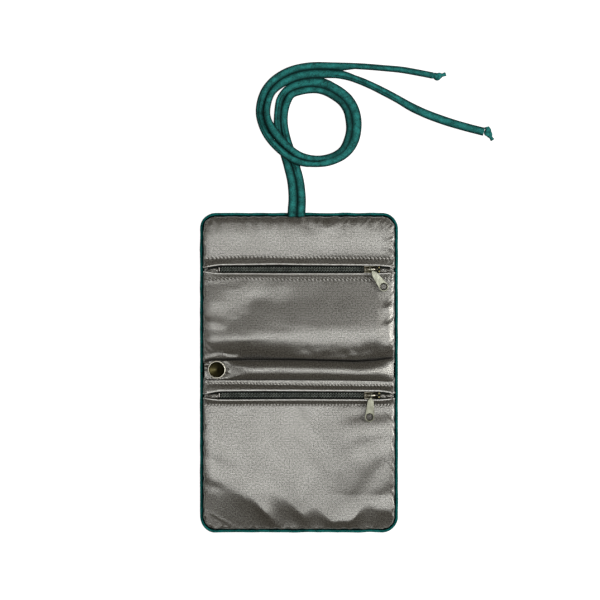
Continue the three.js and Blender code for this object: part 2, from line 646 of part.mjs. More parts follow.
/** Places on a tie: across and away from the edge of the roll, then the share of a crossing, or a level. */
const LEFT_TIE_ROUTE = [
  [-5.4, -2.8, 0, overPiping], [-5.2, 2.4, 0, overPiping], [-4.7, 9.7, 0.5], [-5, 17.2, 0.12], [-5.9, 24.8, 0],
  [-7.7, 32.4, 0], [-9.8, 39.9, 0], [-12.4, 48.2, 0], [-15, 56.5, 0], [-16.6, 64.1, 0], [-17.1, 71.7, 0],
  [-16.6, 79.2, 0], [-15.1, 86.4, 0], [-11, 92.1, 0], [-5.4, 95.4, 0], [0.8, 97.5, 0], [9.8, 98.9, 0],
  [18.9, 98.1, 0], [25.7, 95.3, 0], [31.8, 91.5, 0], [37.4, 86.4, 0], [41.6, 79.6, 0], [43.7, 72.4, 0],
  [44.1, 64.9, 0], [42.8, 56.5, 0], [39.3, 49, 0], [34, 43.3, 0], [27.2, 39.7, 0], [19.7, 37.6, 0.06],
  [11.3, 37.1, 0.4], [3, 37.9, 0.92], [-4.5, 40.1, 1.05], [-12.1, 45, 1.05], [-18.9, 51.3, 1.05],
  [-24.2, 58.4, 0.5], [-28.1, 66.8, 0.04], [-29.9, 75.4, 0], [-28.9, 84.5, 0], [-25.7, 92.8, 0],
  [-20.4, 99.6, 0], [-13.6, 104.7, 0], [-6, 108.3, 0], [2.3, 110.6, 0], [12.1, 111.7, 0], [23.4, 111.6, 0],
  [37, 111.3, 0], [50.7, 110.6, 0], [64.3, 109.5, 0], [77.9, 108.2, 0], [90, 106.1, 0], [101.3, 103.9, 0],
];
const RIGHT_TIE_ROUTE = [
  [1.7, -2.8, 0, overPiping], [1.9, 2.4, 0, overPiping], [2.2, 9.7, 0.5], [1.7, 17.2, 0.12], [0.6, 24.8, 0],
  [-1.4, 32.4, 0], [-3.6, 39.2, 0], [-5.9, 46.7, 0], [-8.5, 54.7, 0], [-10.3, 62.6, 0], [-11, 70.2, 0],
  [-10.4, 77.7, 0], [-8.4, 84.1, 0], [-5.3, 89.1, 0], [0.8, 91.5, 0], [7.6, 92.8, 0], [14.4, 92.8, 0],
  [20.8, 91, 0], [27.2, 87.3, 0], [32.5, 82.9, 0], [36.1, 77, 0], [37.7, 70.2, 0], [38, 62.6, 0], [36.2, 55, 0],
  [31.6, 49.4, 0], [26.7, 46, 0], [20.8, 44.2, 0], [14.4, 43.2, 0.08], [7.6, 43.4, 0.45], [0.8, 44.8, 0.92],
  [-5.7, 48.2, 1.05], [-11.7, 53.1, 1.05], [-17, 59.2, 1.05], [-21.2, 66, 1.05], [-23.8, 73.9, 0.75],
  [-23.1, 83, 0.16], [-20.2, 90.6, 0], [-15.1, 96.2, 0], [-8.5, 100.5, 0], [-0.8, 103.6, 0], [8.3, 105.1, 0],
  [17.4, 105.7, 0], [26.5, 104.9, 0], [35.5, 103.4, 0], [44.6, 100.6, 0], [53.7, 96.8, 0], [64.3, 91.6, 0],
  [74.8, 86, 0], [84.7, 80.3, 0], [95.3, 75.3, 0], [106.6, 71, 0], [117.9, 67.3, 0], [129.3, 64.1, 0],
  [139.9, 61.4, 0],
];

/** A tie's route as a smooth curve. */
function tieCurve(route) {
  const points = route.map(([x, y, share, level]) => new THREE.Vector3(x, y, level ?? tieLevel(share)));
  return new THREE.CatmullRomCurve3(points, false, 'centripetal');
}

/** The least room between two ties, or between the turns of one, on points along them. */
function leastGap(first, second) {
  const count = 400;
  const near = first === second ? Math.ceil(count * 3 * TIE_WIDTH / first.getLength()) : 0;
  const ours = first.getSpacedPoints(count);
  const theirs = second.getSpacedPoints(count);
  let least = Infinity;
  ours.forEach((a, i) => theirs.forEach((b, j) => {
    if (first === second && Math.abs(i - j) < near) return;
    const beside = Math.hypot(a.x - b.x, a.y - b.y) - TIE_WIDTH;
    const above = Math.abs(a.z - b.z) - TIE_THICKNESS;
    least = Math.min(least, Math.max(beside, above));
  }));
  return least;
}

/** A tie with the knot at its end. */
function tie(name, curve, turn) {
  const oval = new THREE.Shape();
  oval.absellipse(0, 0, TIE_THICKNESS / 2, TIE_WIDTH / 2, 0, Math.PI * 2);
  const options = { steps: TIE_STEPS, extrudePath: curve, curveSegments: TIE_SIDES / 2 };
  const strand = piece(name, new THREE.ExtrudeGeometry(oval, options), cotton);
  const lump = new THREE.SphereGeometry(KNOT_SIZE / 2, 12, 8).scale(1, KNOT_WAIST, 0.6);
  const band = new THREE.SphereGeometry(KNOT_SIZE / 2, 12, 8).scale(0.42, 0.86, 0.68);
  const tail = new THREE.SphereGeometry(KNOT_TAIL_DIAMETER / 2, 10, 6).scale(1.5, 0.9, 0.9);
  tail.rotateZ(0.5).translate(KNOT_SIZE * 0.52, KNOT_SIZE * 0.18, 0);
  const knot = piece(`${name}_knot`, join(lump, band, tail), cotton);
  const end = curve.getPointAt(1);
  const way = curve.getTangentAt(1);
  const reach = KNOT_SIZE / 2 * Math.hypot(Math.cos(turn), KNOT_WAIST * Math.sin(turn)) + CLEARANCE;
  knot.position.set(end.x + way.x * reach, end.y + way.y * reach, KNOT_SIZE * 0.34 + TIE_LIFT);
  knot.rotation.z = Math.atan2(way.y, way.x) + turn;
  return [strand, knot];
}

/** Both ties, in a group at the edge of the roll. */
function ties() {
  const group = new THREE.Group();
  group.position.y = halfLength;
  const left = tieCurve(LEFT_TIE_ROUTE);
  const right = tieCurve(RIGHT_TIE_ROUTE);
  group.add(...tie('tie_left', left, 0));
  group.add(...tie('tie_right', right, -1.1));
  const lengths = [left, right].map((curve) => curve.getLength().toFixed(1));
  console.log(`tie lengths ${lengths.join(' and ')} mm`);
  console.log(`least gap of the left tie to itself ${leastGap(left, left).toFixed(2)} mm`);
  console.log(`least gap of the right tie to itself ${leastGap(right, right).toFixed(2)} mm`);
  console.log(`least gap between the ties ${leastGap(left, right).toFixed(2)} mm`);
  return group;
}

const roll = new THREE.Group();

const upperPanel = new THREE.Group();
upperPanel.add(...layers('upper', upperStart, panelFar));
upperPanel.add(...piping('upper_piping', pipingPath(upperStart, halfLength), 1));
upperPanel.add(piece('upper_header', sewnPanel({
  seam: panelFar, slit: upperZip + slitHalf, height: headerHeight, columns: 20, rows: 8,
}), satin));
upperPanel.add(piece('upper_pocket_front', sewnPanel({
  seam: upperStart, slit: upperZip - slitHalf, height: pocketHeight, columns: 28, rows: 14,
}), satin));
upperPanel.add(zip('upper_zip', upperZip, UPPER_PULL_YAW));
upperPanel.add(ties());

const lowerPanel = new THREE.Group();
lowerPanel.add(...layers('lower', -panelFar, lowerStart));
lowerPanel.add(...piping('lower_piping', pipingPath(lowerStart, -halfLength), -1));
lowerPanel.add(piece('lower_header', sewnPanel({
  seam: lowerStart, slit: lowerZip + slitHalf, height: stripHeight, columns: 16, rows: 4,
}), satin));
lowerPanel.add(piece('lower_pocket_front', sewnPanel({
  seam: -panelFar, slit: lowerZip - slitHalf, height: pocketHeight, columns: 28, rows: 16,
}), satin));
lowerPanel.add(zip('lower_zip', lowerZip, LOWER_PULL_YAW));

roll.add(upperPanel, spine(), ringBar(), lowerPanel);

export default roll;
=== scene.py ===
"""Looks of a satin jewelry roll that lies open with its inside up.

Sizes are in millimetres and are turned into metres where a mesh is made.
X runs across the roll, Y towards the edge with the ties, and Z up from the table.
"""

import logging
import math
from dataclasses import dataclass, field
from enum import Enum
from typing import Any, Callable, Iterable, Sequence

import bmesh
import bpy
import numpy as np
from mathutils import Matrix, Vector


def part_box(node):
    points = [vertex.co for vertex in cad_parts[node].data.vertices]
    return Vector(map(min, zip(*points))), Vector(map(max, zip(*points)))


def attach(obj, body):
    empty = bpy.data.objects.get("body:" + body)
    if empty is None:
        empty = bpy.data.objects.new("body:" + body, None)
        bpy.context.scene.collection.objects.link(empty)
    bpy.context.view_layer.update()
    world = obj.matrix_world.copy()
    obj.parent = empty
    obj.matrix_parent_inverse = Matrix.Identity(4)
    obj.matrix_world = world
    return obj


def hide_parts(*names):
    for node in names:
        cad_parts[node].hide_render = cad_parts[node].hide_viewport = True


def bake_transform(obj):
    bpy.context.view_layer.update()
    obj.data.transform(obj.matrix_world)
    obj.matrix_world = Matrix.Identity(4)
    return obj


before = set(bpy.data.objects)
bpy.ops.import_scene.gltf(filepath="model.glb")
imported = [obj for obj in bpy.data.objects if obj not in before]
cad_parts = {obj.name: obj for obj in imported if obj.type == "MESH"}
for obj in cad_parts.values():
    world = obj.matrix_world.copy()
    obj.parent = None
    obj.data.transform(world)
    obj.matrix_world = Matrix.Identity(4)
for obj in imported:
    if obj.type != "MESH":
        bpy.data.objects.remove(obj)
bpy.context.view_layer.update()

LOG = logging.getLogger("jewelry_roll")
MM = 0.001
DOUBLES = 1e-7
WHITE = (1.0, 1.0, 1.0, 1.0)

HALF_LENGTH = 121.0
PANEL_HALF = 71.5
PANEL_FAR = 117.5
FAR_SEAM = PANEL_FAR + 0.6
PANEL_CORNER = 8.5
UPPER_FOLD = 10.5
LOWER_FOLD = -9.5
UPPER_ZIP = 78.1
LOWER_ZIP = -16.9

Array = np.ndarray
Knots = Sequence[tuple[float, float]]
Colour = tuple[float, float, float]
Section = Callable[[Array, Array], tuple[Array, Array]]
Piece = bpy.types.Object
Material = bpy.types.Material
Tree = bpy.types.NodeTree
Socket = bpy.types.NodeSocket


class Body(str, Enum):
    """The bodies of the frame that pieces ride on."""

    SPINE = "spine"
    UPPER = "upper_panel"
    LOWER = "lower_panel"
    RING_BAR = "ring_bar"


class Slot(str, Enum):
    """The record's material slots."""

    SATIN = "satin"
    COTTON = "cotton"
    WADDING = "wadding"
    WEBBING = "webbing"
    COIL = "coil"
    STOP = "stop_plastic"
    BRASS = "antique_brass"
    PULL = "pull_metal"


# Way along Y, name, panel and stem of the solids of each half of the roll
HALVES = ((1, "far", Body.UPPER, "upper"), (-1, "near", Body.LOWER, "lower"))


# Numbers


def rise(distance: Array, run: float) -> Array:
    """How far sewn cloth has risen, from 0 to 1, at a distance from its seam and over a run."""
    return np.sin(np.clip(distance / run, 0.0, 1.0) * math.pi / 2)


def step(value: Array, low: float, high: float) -> Array:
    """A smooth step from 0 at low to 1 at high."""
    t = np.clip((value - low) / (high - low), 0.0, 1.0)
    return t * t * (3 - 2 * t)


def between(value: Array, start: float, end: float, soft: float) -> Array:
    """A share of 1 from start to end, with a soft run inside both."""
    return step(value, start, start + soft) * (1 - step(value, end - soft, end))


def hump(offset: Array, width: float) -> Array:
    """A round hump of height 1 where the offset is 0."""
    return np.exp(-((offset / width) ** 2))


def lesser(first: Array, second: Array, softness: float) -> Array:
    """The lesser of two fields, with an edge rounded over a softness where they meet."""
    h = np.clip(0.5 + 0.5 * (second - first) / softness, 0.0, 1.0)
    return second + (first - second) * h - softness * h * (1 - h)


def traced(x: Array, knots: Knots, soft: float = 1.2) -> Array:
    """A soft line through knots.

    Args:
        x: Where the line is read.
        knots: Pairs of place and value in rising order of place.
        soft: How far the corners at the knots are rounded.

    Returns:
        The line's values.
    """
    places, values = zip(*knots)
    offsets = np.linspace(-2.0, 2.0, 9) * soft
    weights = np.exp(-0.5 * (offsets / soft) ** 2)
    total = sum(w * np.interp(x + o, places, values) for w, o in zip(weights, offsets))
    return total / weights.sum()


def lofted(x: Array, y: Array, stations: Sequence[tuple[float, Knots]], soft: float) -> Array:
    """Heights of a sheet that is lofted through profiles.

    Args:
        x: Places across.
        y: Places along.
        stations: Place across and profile along of each station, from left to right.
        soft: How far the corners of the profiles are rounded.

    Returns:
        The heights.
    """
    total = traced(y, stations[0][1], soft) + 0 * x
    for (left, _), (right, knots) in zip(stations, stations[1:]):
        share = step(x, left, right)
        total = total * (1 - share) + traced(y, knots, soft) * share
    return total


def wave(place: Array, pitch: float, seed: int) -> Array:
    """An uneven wave along a seam, as gathered cloth makes.

    Args:
        place: Distance along the seam.
        pitch: Mean distance between crests.
        seed: Seed of the wave's phases.

    Returns:
        Heights of about -1 to 1.
    """
    rng = np.random.default_rng(seed)
    total = np.zeros_like(place)
    for stretch in (0.62, 0.85, 1.0, 1.27, 1.9):
        phase = rng.uniform(0, 2 * math.pi)
        total += rng.uniform(0.5, 1.0) * np.cos(2 * math.pi * place / (pitch * stretch) + phase)
    return total / 2.2


def ripple(x: Array, y: Array, size: float, seed: int) -> Array:
    """Soft uneven dents all over a sheet.

    Args:
        x: Places across.
        y: Places along.
        size: Mean distance between dents.
        seed: Seed of the dents.

    Returns:
        Heights of about -1 to 1.
    """
    rng = np.random.default_rng(seed)
    total = np.zeros_like(x)
    for _ in range(9):
        way = rng.uniform(0, 2 * math.pi)
        pitch = size * rng.uniform(0.7, 1.6)
        along = x * math.cos(way) + y * math.sin(way)
        total += np.cos(2 * math.pi * along / pitch + rng.uniform(0, 2 * math.pi))
    return total / 4.0


def run_along(path: Array) -> Array:
    """Distance along a path at each of its points."""
    return np.concatenate([[0.0], np.cumsum(np.linalg.norm(np.diff(path, axis=0), axis=1))])


def around(count: int) -> Array:
    """Even angles of a full turn."""
    return np.linspace(0, 2 * math.pi, count, endpoint=False)


def fold_place(way: int) -> float:
    """Distance of a half's fold from the middle of the roll."""
    return UPPER_FOLD if way > 0 else -LOWER_FOLD


def panel_reach(y: Array) -> Array:
    """Half the width of the sewn panels at a place along the roll."""
    over = np.clip(np.abs(y) - (PANEL_FAR - PANEL_CORNER), 0.0, PANEL_CORNER)
    return PANEL_HALF - PANEL_CORNER + np.sqrt(PANEL_CORNER**2 - over**2)


def edge_distance(x: Array, y: Array) -> Array:
    """Distance from the sewn edge of the panels, with round corners.

    Args:
        x: Places across.
        y: Places along.

    Returns:
        The distance at each place.
    """
    qx = np.abs(x) - (PANEL_HALF - PANEL_CORNER)
    qy = np.abs(y) - (PANEL_FAR - PANEL_CORNER)
    outside = np.hypot(np.maximum(qx, 0), np.maximum(qy, 0))
    return PANEL_CORNER - outside - np.minimum(np.maximum(qx, qy), 0)


# Meshes


def linked(name: str, data: Any) -> Piece:
    """A new object of a mesh, curve, lamp or camera, put into the scene.

    Args:
        name: Its name.
        data: What the object shows.

    Returns:
        The piece.
    """
    made = bpy.data.objects.new(name, data)
    bpy.context.scene.collection.objects.link(made)
    return made


def smoothed(mesh: bpy.types.Mesh) -> bpy.types.Mesh:
    """Shades every face of a mesh smooth."""
    mesh.polygons.foreach_set("use_smooth", np.ones(len(mesh.polygons), bool))
    return mesh


def final_mesh(made: Piece) -> bpy.types.Mesh:
    """A new mesh of a piece as its modifiers leave it.

    Args:
        made: The piece.

    Returns:
        The mesh.
    """
    ready = made.evaluated_get(bpy.context.evaluated_depsgraph_get())
    mesh = bpy.data.meshes.new_from_object(ready)
    mesh.name = made.name
    return mesh


def places_of(made: Piece) -> Array:
    """The points of a piece in millimetres."""
    return np.array([vertex.co for vertex in made.data.vertices]) / MM


def new_object(name: str, points: Array, faces: Sequence[Sequence[int]], uv: Array | None = None) -> Piece:
    """A smooth mesh object at the origin.

    Args:
        name: Name of the piece.
        points: Points in millimetres.
        faces: Point numbers of each face.
        uv: Place of each point on the cloth, in metres.

    Returns:
        The new object.
    """
    mesh = bpy.data.meshes.new(name)
    mesh.from_pydata((np.asarray(points, float) * MM).tolist(), [], [list(map(int, f)) for f in faces])
    if uv is not None:
        layer = mesh.uv_layers.new(name="UVMap")
        loops = np.zeros(len(mesh.loops), np.int32)
        mesh.loops.foreach_get("vertex_index", loops)
        layer.data.foreach_set("uv", np.asarray(uv, np.float32)[loops].ravel())
    smoothed(mesh).update()
    return linked(name, mesh)


def face_outwards(made: Piece, merge: float = 0.0) -> Piece:
    """Merges doubles and turns the faces of a closed piece outwards.

    Args:
        made: The piece.
        merge: Distance in metres under which points are merged.

    Returns:
        The same piece.
    """
    mesh = bmesh.new()
    mesh.from_mesh(made.data)
    if merge:
        bmesh.ops.remove_doubles(mesh, verts=mesh.verts, dist=merge)
    bmesh.ops.recalc_face_normals(mesh, faces=mesh.faces)
    mesh.to_mesh(made.data)
    mesh.free()
    return made


def grid_faces(rows: int, columns: int, closed: bool = False) -> Array:
    """The four-sided faces of a grid of points.

    Args:
        rows: Number of rows of points.
        columns: Number of points in a row.
        closed: Whether each row closes on itself.

    Returns:
        One row of four point numbers for each face.
    """
    across = np.arange(columns if closed else columns - 1)
    ahead = (across + 1) % columns
    base = np.arange(rows - 1)[:, None] * columns
    quads = np.stack(
        [base + across, base + ahead, base + columns + ahead, base + columns + across], axis=-1
    )
    return quads.reshape(-1, 4)


def cloth_grid(name: str, points: Array, uv: Array) -> Piece:
    """A sheet from a grid of points, facing up.

    Args:
        name: Name of the piece.
        points: Rows of points in millimetres.
        uv: Place of each point on the cloth, in metres.

    Returns:
        The new object.
    """
    rows, columns = points.shape[:2]
    faces = grid_faces(rows, columns)
    middle = rows // 2
    along = points[middle + 1, columns // 2] - points[middle, columns // 2]
    across = points[middle, columns // 2 + 1] - points[middle, columns // 2]
    if np.cross(across, along)[2] < 0:
        faces = faces[:, ::-1]
    return new_object(name, points.reshape(-1, 3), faces, uv.reshape(-1, 2))


def skin(name: str, rings: Array, uv: Array | None = None) -> Piece:
    """A closed skin over rings of points, with round caps.

    Args:
        name: Name of the piece.
        rings: Rings with as many points each, in millimetres.
        uv: Place of each point on the cloth, in metres.

    Returns:
        The new object.
    """
    count, sides = rings.shape[:2]
    faces = grid_faces(count, sides, closed=True).tolist()
    points = np.concatenate([rings.reshape(-1, 3), rings[:1].mean(1), rings[-1:].mean(1)])
    first, last = count * sides, count * sides + 1
    for side in range(sides):
        ahead = (side + 1) % sides
        faces.append([first, ahead, side])
        faces.append([last, (count - 1) * sides + side, (count - 1) * sides + ahead])
    if uv is not None:
        uv = np.concatenate([uv.reshape(-1, 2), uv[0, :1], uv[-1, :1]])
    return face_outwards(new_object(name, points, faces, uv))


def turned(name: str, profile: Knots, centre: tuple[float, float], sides: int = 64) -> Piece:
    """A piece turned about an upright axis.

    Args:
        name: Name of the piece.
        profile: Pairs of radius and height, closed from the last to the first.
        centre: Place of the axis.
        sides: Number of facets.

    Returns:
        The new object.
    """
    angles = around(sides)
    pairs = np.array(list(profile))
    radii, heights = pairs[:, :1], pairs[:, 1:]
    flat = np.broadcast_to(heights, (len(pairs), sides))
    rings = np.stack(
        [radii * np.cos(angles) + centre[0], radii * np.sin(angles) + centre[1], flat], axis=-1
    )
    closed = np.concatenate([rings, rings[:1]]) if pairs[0, 0] > 0 else rings
    made = new_object(name, closed.reshape(-1, 3), grid_faces(len(closed), sides, closed=True))
    return face_outwards(made, merge=DOUBLES)


def flat_plate(name: str, outlines: Sequence[Knots], thickness: float, round_over: float) -> Piece:
    """A flat plate with rounded rims, lying on the XY plane.

    Args:
        name: Name of the piece.
        outlines: The outer line and then the holes.
        thickness: Thickness of the plate.
        round_over: Radius of its rims.

    Returns:
        The new object, with its middle plane at Z 0.
    """
    curve = bpy.data.curves.new(name, "CURVE")
    curve.dimensions = "2D"
    curve.fill_mode = "BOTH"
    curve.extrude = (thickness / 2 - round_over) * MM
    curve.bevel_depth = round_over * MM
    curve.offset = -round_over * MM
    curve.bevel_resolution = 3
    for outline in outlines:
        spline = curve.splines.new("POLY")
        spline.points.add(len(outline) - 1)
        for point, (x, y) in zip(spline.points, outline):
            point.co = (x * MM, y * MM, 0.0, 1.0)
        spline.use_cyclic_u = True
    holder = linked(name + "_line", curve)
    mesh = final_mesh(holder)
    bpy.data.objects.remove(holder)
    return face_outwards(linked(name, mesh), merge=DOUBLES)


def joined(name: str, parts: Sequence[Piece]) -> Piece:
    """Several pieces as one piece.

    Args:
        name: Name of the new piece.
        parts: The pieces, which are used up.

    Returns:
        The new object.
    """
    whole = bmesh.new()
    for part in parts:
        whole.from_mesh(part.data)
        bpy.data.objects.remove(part)
    mesh = bpy.data.meshes.new(name)
    whole.to_mesh(mesh)
    whole.free()
    return linked(name, smoothed(mesh))


def settled(made: Piece) -> Piece:
    """Applies the modifiers of a piece, so that its mesh is final.

    Args:
        made: The piece.

    Returns:
        The same piece.
    """
    old, mesh = made.data, final_mesh(made)
    made.modifiers.clear()
    made.data = smoothed(mesh)
    bpy.data.meshes.remove(old)
    return made


def crisp(made: Piece, degrees: float) -> Piece:
    """Keeps edges of a piece that are sharper than an angle crisp in the shading."""
    made.data.set_sharp_from_angle(angle=math.radians(degrees))
    return made


def thicken(made: Piece, thickness: float) -> Piece:
    """Gives a sheet its thickness below its face.

    Args:
        made: The piece.
        thickness: Thickness of the cloth.

    Returns:
        The piece.
    """
    wall = made.modifiers.new("cloth_thickness", "SOLIDIFY")
    wall.thickness = thickness * MM
    wall.offset = -1.0
    return made


def dress(made: Piece, material: Material) -> Piece:
    """Gives a piece its material.

    Args:
        made: The piece.
        material: Its material.

    Returns:
        The same piece.
    """
    made.data.materials.clear()
    made.data.materials.append(material)
    return made


def mark(made: Piece, name: str, values: Array) -> Piece:
    """Stores a named number from 0 to 1 at each point of a piece, for its finish.

    Args:
        made: The piece.
        name: Name that the finish reads it by.
        values: The number at each point.

    Returns:
        The piece.
    """
    layer = made.data.attributes.new(name, "FLOAT", "POINT")
    layer.data.foreach_set("value", np.clip(values, 0.0, 1.0).astype(np.float32).ravel())
    return made


def fold_over(made: Piece) -> Piece:
    """Bakes the place of a piece into its mesh.

    Args:
        made: The piece.

    Returns:
        The same piece.
    """
    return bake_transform(made)


# Nodes and finishes


def wire(tree: Tree, made: bpy.types.Node, inputs: dict[Any, Any]) -> None:
    """Sets or joins the inputs of a node.

    Args:
        tree: The tree that holds the node.
        made: The node.
        inputs: A value or a socket to join, for each input by name or number.
    """
    for key, value in inputs.items():
        if isinstance(value, Socket):
            tree.links.new(value, made.inputs[key])
        else:
            made.inputs[key].default_value = value


def node(tree: Tree, kind: str, inputs: dict[Any, Any] | None = None, **settings: Any) -> bpy.types.Node:
    """Adds a node, sets it and joins its inputs.

    Args:
        tree: The tree that gets the node.
        kind: The node's type.
        inputs: A value or a socket to join, for each input by name or number.
        settings: Values of the node's own settings.

    Returns:
        The new node.
    """
    made = tree.nodes.new(kind)
    for key, value in settings.items():
        setattr(made, key, value)
    wire(tree, made, inputs or {})
    return made


def maths(tree: Tree, operation: str, *values: Any) -> Socket:
    """The result of one Math node on numbers or sockets."""
    return node(tree, "ShaderNodeMath", dict(enumerate(values)), operation=operation).outputs[0]


def combined(tree: Tree, *values: Any) -> Socket:
    """A vector from three numbers or sockets."""
    return node(tree, "ShaderNodeCombineXYZ", dict(enumerate(values))).outputs[0]


def stretched(tree: Tree, place: Socket, by: Any) -> Socket:
    """A place multiplied by a vector or by the socket that gives it."""
    return node(tree, "ShaderNodeVectorMath", {0: place, 1: by}, operation="MULTIPLY").outputs[0]


def noise(tree: Tree, place: Socket, scale: Any, **inputs: float) -> Socket:
    """The value of a Noise Texture node."""
    return node(tree, "ShaderNodeTexNoise", {"Vector": place, "Scale": scale, **inputs}).outputs[0]


def object_place(tree: Tree) -> Socket:
    """Places in the piece's own coordinates."""
    return node(tree, "ShaderNodeTexCoord").outputs["Object"]


def marked(tree: Tree, name: str) -> Socket:
    """The numbers that a piece stores at its points."""
    return node(tree, "ShaderNodeAttribute", attribute_name=name).outputs["Fac"]


def spread(
    tree: Tree, value: Socket, low: float, high: float, to: tuple[float, float] = (0.0, 1.0),
) -> Socket:
    """A value spread from the range low to high over another range and kept inside it."""
    return node(tree, "ShaderNodeMapRange", {0: value, 1: low, 2: high, 3: to[0], 4: to[1]}).outputs[0]


def mixed(tree: Tree, share: Socket, low: Colour | Socket, high: Colour) -> Socket:
    """A colour between a colour, or the socket that gives it, and a second colour."""
    first = low if isinstance(low, Socket) else (*low, 1.0)
    return node(tree, "ShaderNodeMix", {0: share, 6: first, 7: (*high, 1.0)}, data_type="RGBA").outputs[2]


def bumped(tree: Tree, height: Socket, depth: float, after: Socket | None = None) -> Socket:
    """A normal from a relief of 0 to 1, its depth in metres and a normal that it is laid over."""
    over = {} if after is None else {"Normal": after}
    return node(tree, "ShaderNodeBump", {"Height": height, "Distance": depth, **over}).outputs[0]


SOCKET_KINDS = {"Vector": "Vector", "Stretch": "Vector", "Geometry": "Geometry", "Material": "Material"}


def new_group(
    name: str, kind: str, inputs: dict[str, Any], outputs: Sequence[str],
) -> tuple[Tree, Any, Any]:
    """An empty node group with named sockets, which are numbers unless SOCKET_KINDS says otherwise.

    Args:
        name: Name of the group.
        kind: The tree's type.
        inputs: Default of each input by name.
        outputs: Name of each output.

    Returns:
        The tree, the sockets of its input node and its output node.
    """
    tree = bpy.data.node_groups.new(name, kind)
    sockets = [(label, "INPUT", value) for label, value in inputs.items()]
    sockets += [(label, "OUTPUT", None) for label in outputs]
    for label, side, value in sockets:
        socket_type = "NodeSocket" + SOCKET_KINDS.get(label, "Float")
        made = tree.interface.new_socket(name=label, in_out=side, socket_type=socket_type)
        if value is not None:
            made.default_value = value
    return tree, tree.nodes.new("NodeGroupInput").outputs, tree.nodes.new("NodeGroupOutput")


def grain_group() -> Tree:
    """Uneven threads: a coarse mottle, fine slubs and their relief.

    Returns:
        The shader group.
    """
    tree, given, result = new_group(
        "thread_grain", "ShaderNodeTree",
        {"Vector": None, "Slub Scale": 900.0, "Mottle Scale": 90.0, "Stretch": (1.0, 1.0, 1.0)},
        ("Height", "Slub", "Mottle"),
    )
    placed = stretched(tree, given["Vector"], given["Stretch"])
    slub = noise(tree, placed, given["Slub Scale"], Detail=1.2, Roughness=0.6)
    mottle = noise(tree, given["Vector"], given["Mottle Scale"], Detail=3.0)
    both = maths(tree, "MULTIPLY_ADD", mottle, 0.35, slub)
    wire(tree, result, {"Height": both, "Slub": slub, "Mottle": mottle})
    return tree


def weave_group() -> Tree:
    """Crossing threads: warp and weft that pass over and under each other.

    Returns:
        The shader group.
    """
    tree, given, result = new_group(
        "crossing_threads", "ShaderNodeTree",
        {"Vector": None, "Warp Pitch": 0.0004, "Weft Pitch": 0.0004, "Lean": 0.0}, ("Height", "Thread"),
    )
    parts = node(tree, "ShaderNodeSeparateXYZ", {0: given["Vector"]}).outputs
    leaned = maths(tree, "MULTIPLY_ADD", parts[1], given["Lean"], parts[0])
    warp, weft = (
        maths(
            tree, "SINE", maths(tree, "DIVIDE", maths(tree, "MULTIPLY", place, 2 * math.pi), given[pitch])
        )
        for place, pitch in ((leaned, "Warp Pitch"), (parts[1], "Weft Pitch"))
    )
    cross = maths(tree, "MULTIPLY", warp, weft)
    height = maths(tree, "MULTIPLY_ADD", cross, 0.5, 0.5)
    thread = maths(tree, "MULTIPLY_ADD", maths(tree, "ADD", warp, weft), 0.25, 0.5)
    wire(tree, result, {"Height": height, "Thread": thread})
    return tree


def wear_group() -> Tree:
    """Rubbed rims and scratches of small metal pieces.

    Returns:
        The shader group.
    """
    tree, given, result = new_group(
        "rubbed_metal", "ShaderNodeTree", {"Vector": None, "Rim": 0.6, "Scratch Scale": 700.0},
        ("Rubbed", "Scratch"),
    )
    edge = spread(tree, node(tree, "ShaderNodeNewGeometry").outputs["Pointiness"], 0.5, 0.62)
    spots = maths(tree, "ADD", noise(tree, given["Vector"], 420.0, Detail=4.0), 0.4)
    rubbed = maths(tree, "MULTIPLY", maths(tree, "MULTIPLY", edge, given["Rim"]), spots)
    longer = stretched(tree, given["Vector"], (1.0, 0.12, 1.0))
    scratch = noise(tree, longer, given["Scratch Scale"], Detail=3.0)
    wire(tree, result, {"Rubbed": rubbed, "Scratch": scratch})
    return tree


class Effects:
    """The shader groups that several materials share, each built once."""

    made: dict[str, Tree] = {}

    @classmethod
    def place(cls, tree: Tree, builder: Callable[[], Tree], **values: Any) -> Any:
        """Puts a shared group into a material.

        Args:
            tree: The material's tree.
            builder: The function that builds the group.
            values: Values or sockets for the inputs, with _ for a space.

        Returns:
            The group's outputs.
        """
        if builder.__name__ not in cls.made:
            cls.made[builder.__name__] = builder()
        inputs = {key.replace("_", " "): value for key, value in values.items()}
        return node(tree, "ShaderNodeGroup", inputs, node_tree=cls.made[builder.__name__]).outputs


def new_material(name: str) -> tuple[Material, Tree, bpy.types.Node]:
    """A material with its tree and its one Principled shader.

    Args:
        name: Its name.

    Returns:
        The material, its tree and its shader.
    """
    material = bpy.data.materials.new(name)
    material.use_nodes = True
    return material, material.node_tree, material.node_tree.nodes["Principled BSDF"]


